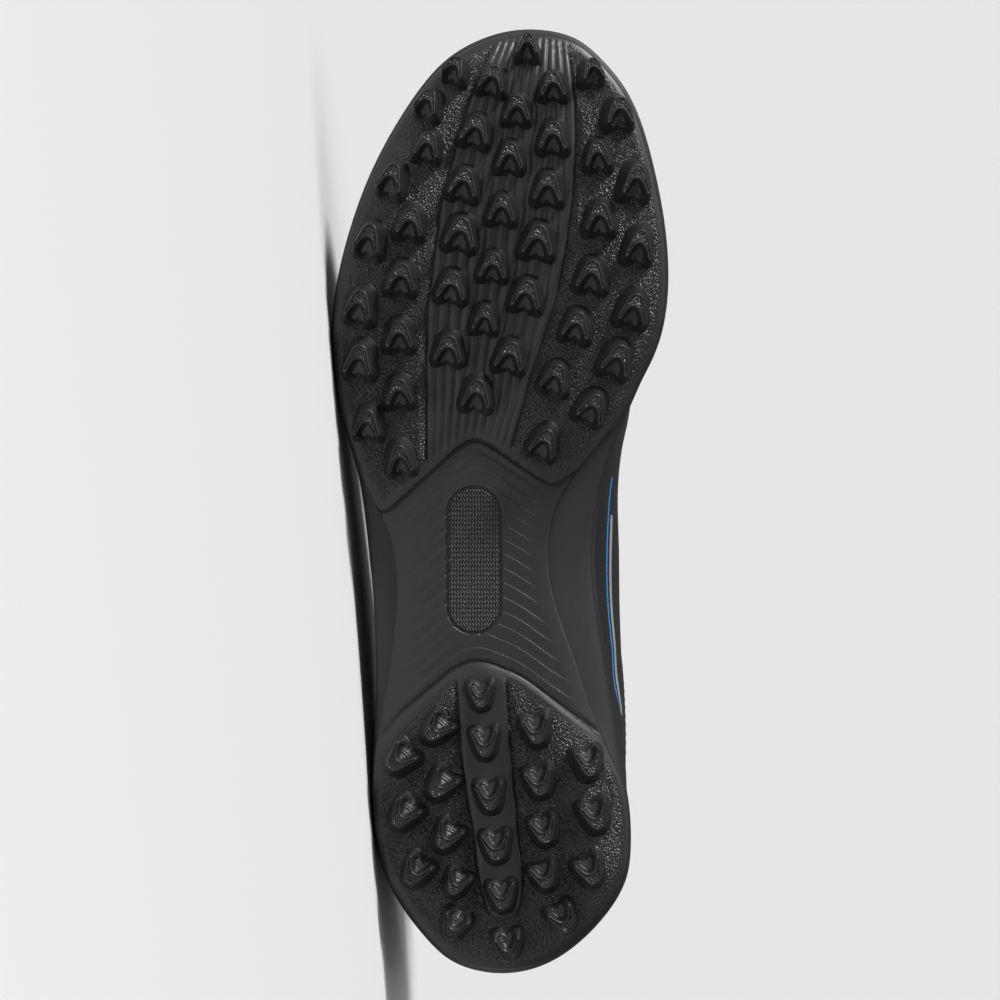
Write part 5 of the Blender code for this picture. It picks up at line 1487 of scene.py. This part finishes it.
def overlay(name, turns, low, high, lift, material, rows=12):
    """A thin panel on the upper between two curves, its edges rolled down to the wall."""
    turns = np.asarray(turns, float)
    count = len(turns)
    shares = np.linspace(0.0, 1.0, rows)
    ends = smooth(np.minimum(np.arange(count), np.arange(count)[::-1]) / 2.0)
    points, charts = [], []
    for share in shares:
        place = low + (high - low) * share
        surface = upper_surface(turns, place)
        normal = upper_normal(turns, place)
        edge = smooth(min(share, 1.0 - share) * (rows - 1) / 1.5)
        rise = (lift + 0.25 * MM) * edge * ends - 0.25 * MM
        points.append(surface + normal * (rise - crease_depth(turns, place))[:, None])
        charts.append(np.column_stack([turns * 0.35, place * 0.08]))
    faces = grid_faces(rows, count)
    return make_piece(name, np.vstack(points), faces, [material],
                      layers={"grip": np.zeros(rows * count)}, uv=np.vstack(charts))


def curve_share(turns, knots, values):
    """Shares of the wall's curve for turns, through a few chosen ones."""
    return natural_spline(np.asarray(knots, float), np.asarray(values, float), turns)


def build_overlays():
    """The two stiff panels welded on the upper."""
    # Heel counter, round the heel from one side to the other.
    turns = np.linspace(-0.40, 0.40, 120)
    top = curve_share(turns, (-0.40, -0.30, -0.15, 0.0, 0.15, 0.30, 0.40),
                      (0.16, 0.42, 0.60, 0.68, 0.60, 0.42, 0.16))
    overlay("heel_counter", np.mod(turns, 2.0), np.full(120, 0.012), top, 0.55 * MM, finish_of("textile"), 26)
    # Toe guard, low round the toe.
    turns = np.linspace(0.62, 1.38, 140)
    top = curve_share(turns, (0.62, 0.75, 0.90, 1.0, 1.10, 1.25, 1.38),
                      (0.03, 0.13, 0.24, 0.30, 0.24, 0.13, 0.03))
    overlay("toe_guard", turns, np.full(140, 0.012), top, 0.5 * MM, finish_of("textile"), 20)


def share_up(turns, reach):
    """Share of the wall's curve that lies a real length up from the foot."""
    shares = np.linspace(0.0, 0.7, 40)
    rows = np.array([upper_surface(turns, np.full(len(turns), share)) for share in shares])
    up = np.vstack([np.zeros(len(turns)), np.cumsum(np.linalg.norm(np.diff(rows, axis=0), axis=2), axis=0)])
    return np.array([np.interp(reach, up[:, k], shares) for k in range(len(turns))])


def build_lines(settings):
    """A thin coloured line and a plain pale band, both of even width and level with the sole."""
    strips = (
        # name, first and last share of the length, low and high edge over the line's, material
        ("edge_line", 0.235, 0.535, 0.0, 1.3 * MM, "line film"),
        ("pale_band", 0.275, 0.495, 2.9 * MM, 6.4 * MM, "band film"),
    )
    for name, first, last, low, high, finish in strips:
        low, high = settings.line_height + low, settings.line_height + high
        turns = 2.0 - turn_of(np.linspace(first, last, 130))
        overlay(name, turns, share_up(turns, low), share_up(turns, high), 0.16 * MM, finish_of(finish), 7)


def stitch_run(turns, shares, lift, pitch=2.9 * MM, length=2.1 * MM, radius=0.26 * MM):
    """Stitches along a line on the upper, as short rounded rods half sunk in it."""
    points = upper_surface(turns, shares)
    normals = upper_normal(turns, shares)
    run = length_so_far(points)
    at = np.arange(pitch, run[-1] - pitch, pitch)
    centres = read_at(at, run, points)
    ahead = unit(read_at(at + pitch / 3, run, points) - read_at(at - pitch / 3, run, points))
    up = unit(read_at(at, run, normals))
    aside = np.cross(up, ahead)
    rings = ((-0.5, 0.15), (-0.42, 0.75), (-0.2, 1.0), (0.2, 1.0), (0.42, 0.75), (0.5, 0.15))
    sides = 8
    angles = np.linspace(0.0, 2.0 * math.pi, sides, endpoint=False)
    every, faces = [], []
    for centre, x, y, z in zip(centres, ahead, aside, up):
        first = len(every) * sides
        for place, width in rings:
            arch = 0.5 - 2.0 * place * place
            middle = centre + x * place * length + z * (lift + radius * 0.5 * arch)
            every.append(middle + np.outer(np.cos(angles), y) * radius * width
                         + np.outer(np.sin(angles), z) * radius * width)
        faces += grid_faces(len(rings), sides, wrap_columns=True, first=first)
        faces += [tuple(range(first, first + sides)),
                  tuple(range(first + sides * (len(rings) - 1), first + sides * len(rings)))]
    return np.vstack(every), faces


def build_stitches():
    """Two rows of stitches along the eyestay and the collar."""
    runs = []
    turns = np.linspace(0.0, 2.0, 900)
    start = band_share(turns)
    for share, lift in ((0.16, BAND_STEP), (0.30, BAND_STEP)):
        runs.append(stitch_run(turns, start + (1.0 - start) * share, lift))
    points, faces = [], []
    for some, quads in runs:
        first = sum(len(part) for part in points)
        points.append(some)
        faces += [tuple(i + first for i in face) for face in quads]
    make_piece("seam_stitches", np.vstack(points), faces, [finish_of("thread")])


# Tongue and laces


def build_tongue():
    """The padded tongue, with a sewn edge."""
    sections = tongue_sections()
    curves = np.array([curve for curve, _ in sections])
    thick = np.array([value for _, value in sections])
    knots = np.linspace(0.0, 1.0, len(sections))
    rows, columns = 110, 61
    at = np.linspace(0.0, 1.0, rows)
    curves = natural_spline(knots, curves, at)
    thick = natural_spline(knots, thick, at)
    across = np.linspace(0.0, 1.0, 7)
    steps = np.linspace(0.0, 1.0, columns)
    grid = np.array([natural_spline(across, curve, steps) for curve in curves])
    normal = unit(np.cross(np.gradient(grid, axis=0), np.gradient(grid, axis=1)))
    if normal[:, :, 2].mean() < 0.0:
        normal = -normal
    side = np.abs(steps * 2.0 - 1.0)
    end = np.abs(at * 2.0 - 1.0)
    round_side = (1.0 - side ** 10) ** 0.5
    round_end = (1.0 - end ** 40) ** 0.5
    depth = thick[:, None] * round_side[None, :] * round_end[:, None]
    # A sewn edge and three channels along the free part.
    seam = groove(side - 0.86, 0.05)[None, :] * 0.5 * MM
    channels = sum(groove(steps - place, 0.05) for place in (0.34, 0.5, 0.66))[None, :] * 0.35 * MM
    seam = seam + channels * smooth((at - 0.45) / 0.1)[:, None] * smooth((0.94 - at) / 0.03)[:, None]
    middle = grid - normal * (thick * 0.5)[:, None, None]
    top = middle + normal * (depth * 0.5 - seam)[:, :, None]
    low = middle - normal * (depth * 0.5)[:, :, None]
    ring_top = np.arange(rows * columns).reshape(rows, columns)
    points = np.vstack([top.reshape(-1, 3), low.reshape(-1, 3)])
    faces = grid_faces(rows, columns) + [f[::-1] for f in grid_faces(rows, columns, first=rows * columns)]
    border = (list(ring_top[0, :]) + list(ring_top[1:, -1]) + list(ring_top[-1, -2::-1])
              + list(ring_top[-2:0:-1, 0]))
    shift = rows * columns
    for i, j in zip(border, border[1:] + border[:1]):
        faces.append((i, j, j + shift, i + shift))
    run = np.cumsum(np.linalg.norm(np.gradient(grid[:, columns // 2], axis=0), axis=1))
    chart = np.column_stack([np.repeat(run, columns), np.tile(steps * 0.06, rows)])
    body = make_piece("tongue_pad", points, faces, [finish_of("lining")], uv=np.vstack([chart, chart]),
                      node="tongue")
    return body


def build_laces(settings):
    """Flat laces crossed over the throat, each end going down through its eyelet."""
    runs = [((0.0, -1.0), (0.0, 1.0), 0.0)]
    for i in range(EYELETS - 1):
        runs.append(((float(i), -1.0), (i + 1.0, 1.0), 0.0))
        runs.append(((float(i), 1.0), (i + 1.0, -1.0), 1.0))
    width = settings.lace_width
    points, faces, charts = [], [], []
    sides = 16
    angles = np.linspace(0.0, 2.0 * math.pi, sides, endpoint=False)
    for start, end, over in runs:
        share = (1.0 - np.cos(np.linspace(0.0, math.pi, 57))) / 2.0
        place = np.array(start) + (np.array(end) - np.array(start)) * share[:, None]
        spots = lace_surface(place)
        step = 0.01
        normal = unit(np.cross(lace_surface(place + (step, 0.0)) - lace_surface(place - (step, 0.0)),
                               lace_surface(place + (0.0, step)) - lace_surface(place - (0.0, step))))
        if normal[:, 2].mean() < 0.0:
            normal = -normal
        near = np.minimum(share, 1.0 - share)
        lift = 0.8 * MM + over * 1.3 * MM * smooth(1.0 - np.abs(share - 0.5) / 0.22)
        dive = -5.0 * MM * (1.0 - smooth(near / 0.036))
        spots = spots + normal * (lift * smooth(near / 0.07) + dive)[:, None]
        ahead = unit(np.gradient(spots, axis=0))
        flat = unit(np.cross(normal, unit(np.gradient(lace_surface(place), axis=0))))
        up = unit(np.cross(ahead, flat))
        wide = (0.50 + 0.50 * smooth((near - 0.015) / 0.11)) * width * 0.5
        thick = (1.3 - 0.3 * smooth((near - 0.015) / 0.11)) * LACE_THICK * 0.5
        run = length_so_far(spots)
        first = len(points) * sides
        for k in range(len(share)):
            c, s = np.cos(angles), np.sin(angles)
            u = np.sign(c) * np.abs(c) ** 0.55 * wide[k]
            v = np.sign(s) * np.abs(s) ** 0.8 * thick[k]
            points.append(spots[k] + np.outer(u, flat[k]) + np.outer(v, up[k]))
            charts.append(np.column_stack([np.full(sides, run[k]), u]))
        faces += grid_faces(len(share), sides, wrap_columns=True, first=first)
        last = first + (len(share) - 1) * sides
        faces += [tuple(range(first, first + sides)), tuple(range(last, last + sides))]
    return make_piece("lace_crossings", np.vstack(points), faces, [finish_of("tape")],
                      uv=np.vstack(charts), node="laces")


# Stage


def aim(light, direction):
    """Turns a light so that it shines along a direction."""
    light.rotation_mode = "QUATERNION"
    light.rotation_quaternion = direction.to_track_quat("-Z", "Y")


def build_stage(settings):
    """Pale floor that curves up far behind the shoe, three soft lights and the camera."""
    material, tree, shader = start_material("pale paper", settings.floor_colour, 0.9)
    bump(tree, shader, noise(tree, object_place(tree), 4.0 * MM, 3.0), 0.01 * MM)
    far, round_off = 45.0, 1.2
    profile = [(-4.0, 0.0), (far, 0.0)]
    for turned in np.radians(np.arange(9.0, 91.0, 9.0)):
        profile.append((far + round_off * math.sin(turned), round_off * (1.0 - math.cos(turned))))
    profile.append((far + round_off, 3.5))
    mesh = bpy.data.meshes.new("floor")
    points = [(x, y, z) for y, z in profile for x in (-4.0, 4.0)]
    mesh.from_pydata(points, [], grid_faces(len(profile), 2))
    mesh.materials.append(material)
    mesh.shade_smooth()
    floor = place_object("floor", mesh)
    turn = RESTING.to_3x3()
    toe, medial, foot = turn @ Vector((1, 0, 0)), turn @ Vector((0, 1, 0)), turn @ Vector((0, 0, 1))
    target = RESTING @ Vector((settings.aim_along, settings.aim_across, 0.012))
    data = bpy.data.lights.new("fill_light", "AREA")
    data.shape = "SQUARE"
    data.size = 1.2
    data.energy = settings.fill_light
    fill = place_object("fill_light", data)
    fill.location = target - toe * 0.5 + medial * 0.5 - foot * 1.6
    aim(fill, target - fill.location)
    lights = (
        # name, towards the toe, towards the medial side, out from the sole, strength, angle
        ("key_light", 0.80, 0.50, 0.30, settings.key_light, 13.0),
        ("high_light", 0.25, 0.80, 0.40, settings.high_light, 50.0),
    )
    for name, ahead, aside, out, strength, angle in lights:
        data = bpy.data.lights.new(name, "SUN")
        data.energy = strength
        data.angle = math.radians(angle)
        light = place_object(name, data)
        aim(light, foot * out - toe * ahead - medial * aside)
    world = bpy.data.worlds.new("studio")
    bpy.context.scene.world = world
    world.use_nodes = True
    sky = world.node_tree.nodes["Background"]
    sky.inputs["Color"].default_value = (1.0, 1.0, 1.0, 1.0)
    sky.inputs["Strength"].default_value = settings.sky_strength
    data = bpy.data.cameras.new("camera")
    camera = place_object("camera", data)
    back = -foot
    camera.matrix_world = Matrix((medial, toe, back)).transposed().to_4x4()
    camera.location = target + back * settings.camera_distance
    data.sensor_width = 36.0
    data.lens = 36.0 * settings.camera_distance / settings.view_width
    data.clip_end = 100.0
    bpy.context.scene.camera = camera
    bpy.context.scene.view_settings.view_transform = "Standard"
    return camera


# Settings, operators and the panel


class TurfShoeColours(bpy.types.PropertyGroup):
    """Colours and grain sizes of the shoe's materials."""

    rubber_colour: StringProperty(name="Rubber", description="Outsole rubber, sRGB hex", default="#18181a")
    foam_colour: StringProperty(name="Foam", description="Midsole foam, sRGB hex", default="#1d1d1f")
    upper_colour: StringProperty(name="Upper", description="Coated textile, sRGB hex", default="#141416")
    lining_colour: StringProperty(name="Lining", description="Lining and tongue, sRGB hex", default="#202023")
    lace_colour: StringProperty(name="Laces", description="Lace tape, sRGB hex", default="#1b1b1d")
    thread_colour: StringProperty(name="Thread", description="Stitches, sRGB hex", default="#2a2a2d")
    line_colour: StringProperty(name="Line", description="Thin coloured line, sRGB hex", default="#2f86d0")
    band_colour: StringProperty(name="Band", description="Pale band, sRGB hex", default="#9a9a98")
    pebble_size: FloatProperty(name="Pebble size", description="Length of one pebble of the rubber's grain",
                               default=0.50 * MM, min=0.2 * MM, max=3.0 * MM, unit="LENGTH")


class TurfShoeSizes(bpy.types.PropertyGroup):
    """Sizes of the pieces that the frame leaves open."""

    lace_width: FloatProperty(name="Lace width", description="Width of the flat lace",
                              default=LACE_WIDTH, min=3.0 * MM, max=10.0 * MM, unit="LENGTH")
    line_height: FloatProperty(name="Line height", description="How far up the wall the coloured line lies",
                               default=13.8 * MM, min=3.0 * MM, max=30.0 * MM, unit="LENGTH")


class TurfShoeStage(bpy.types.PropertyGroup):
    """Floor, lights and camera."""

    floor_colour: StringProperty(name="Floor", description="Paper floor, sRGB hex", default="#ededee")
    key_light: FloatProperty(name="Key light", description="Strength of the light from the toe end",
                             default=3.5, min=0.0, max=20.0)
    high_light: FloatProperty(name="High light", description="Strength of the broad light from above",
                              default=0.62, min=0.0, max=10.0)
    fill_light: FloatProperty(name="Fill light", description="Power of the soft light before the sole",
                              default=1.9, min=0.0, max=50.0, unit="POWER")
    sky_strength: FloatProperty(name="Sky strength", description="Brightness of the even white surround",
                                default=0.13, min=0.0, max=5.0)
    camera_distance: FloatProperty(name="Camera distance", description="From the sole to the camera",
                                   default=3.0, min=0.5, max=10.0, unit="LENGTH")
    view_width: FloatProperty(name="View width", description="Real width that the picture shows at the sole",
                              default=0.3020, min=0.1, max=2.0, unit="LENGTH")
    aim_along: FloatProperty(name="Aim along", description="Place along the shoe at the picture's middle",
                             default=0.1433, min=0.0, max=0.4, unit="LENGTH")
    aim_across: FloatProperty(name="Aim across", description="Place across the shoe at the picture's middle",
                              default=-0.0009, min=-0.1, max=0.1, unit="LENGTH")


class TURFSHOE_OT_outsole(bpy.types.Operator):
    """Builds the moulded rubber outsole with its pads, panel and studs"""

    bl_idname = "turf_shoe.outsole"
    bl_label = "Outsole"

    def execute(self, context):
        build_sole_sheet()
        build_studs()
        return {"FINISHED"}


class TURFSHOE_OT_midsole(bpy.types.Operator):
    """Builds the foam midsole and the insole on it"""

    bl_idname = "turf_shoe.midsole"
    bl_label = "Midsole and insole"

    def execute(self, context):
        build_midsole()
        build_insole()
        return {"FINISHED"}


class TURFSHOE_OT_upper(bpy.types.Operator):
    """Builds the upper with its lining, overlays, lines and stitches"""

    bl_idname = "turf_shoe.upper"
    bl_label = "Upper"

    def execute(self, context):
        build_upper()
        build_overlays()
        build_lines(context.scene.turf_shoe_sizes)
        build_stitches()
        return {"FINISHED"}


class TURFSHOE_OT_closure(bpy.types.Operator):
    """Builds the tongue and the laces"""

    bl_idname = "turf_shoe.closure"
    bl_label = "Tongue and laces"

    def execute(self, context):
        build_tongue()
        build_laces(context.scene.turf_shoe_sizes)
        return {"FINISHED"}


class TURFSHOE_OT_stage(bpy.types.Operator):
    """Sets the floor, the lights and the camera"""

    bl_idname = "turf_shoe.stage"
    bl_label = "Stage"

    def execute(self, context):
        build_stage(context.scene.turf_shoe_stage)
        return {"FINISHED"}


OPERATORS = (TURFSHOE_OT_outsole, TURFSHOE_OT_midsole, TURFSHOE_OT_upper, TURFSHOE_OT_closure,
             TURFSHOE_OT_stage)
GROUPS = (
    ("turf_shoe_colours", TurfShoeColours),
    ("turf_shoe_sizes", TurfShoeSizes),
    ("turf_shoe_stage", TurfShoeStage),
)


class TURFSHOE_PT_panel(bpy.types.Panel):
    """Lists the shoe's settings and the steps that build it"""

    bl_label = "Turf shoe"
    bl_idname = "TURFSHOE_PT_panel"
    bl_space_type = "VIEW_3D"
    bl_region_type = "UI"
    bl_category = "Turf shoe"

    def draw(self, context):
        for attribute, group in GROUPS:
            box = self.layout.box()
            settings = getattr(context.scene, attribute)
            for name in group.__annotations__:
                box.prop(settings, name)
        for operator in OPERATORS:
            self.layout.operator(operator.bl_idname)


def register():
    """Adds the settings, the operators and the panel to Blender."""
    for attribute, group in GROUPS:
        bpy.utils.register_class(group)
        setattr(bpy.types.Scene, attribute, PointerProperty(type=group))
    for item in OPERATORS + (TURFSHOE_PT_panel,):
        bpy.utils.register_class(item)


def unregister():
    """Takes them out again."""
    for item in reversed(OPERATORS + (TURFSHOE_PT_panel,)):
        bpy.utils.unregister_class(item)
    for attribute, group in reversed(GROUPS):
        delattr(bpy.types.Scene, attribute)
        bpy.utils.unregister_class(group)


def main():
    """Builds every piece and the stage."""
    register()
    for operator in OPERATORS:
        group, name = operator.bl_idname.split(".")
        getattr(getattr(bpy.ops, group), name)()


if __name__ == "__main__":
    main()
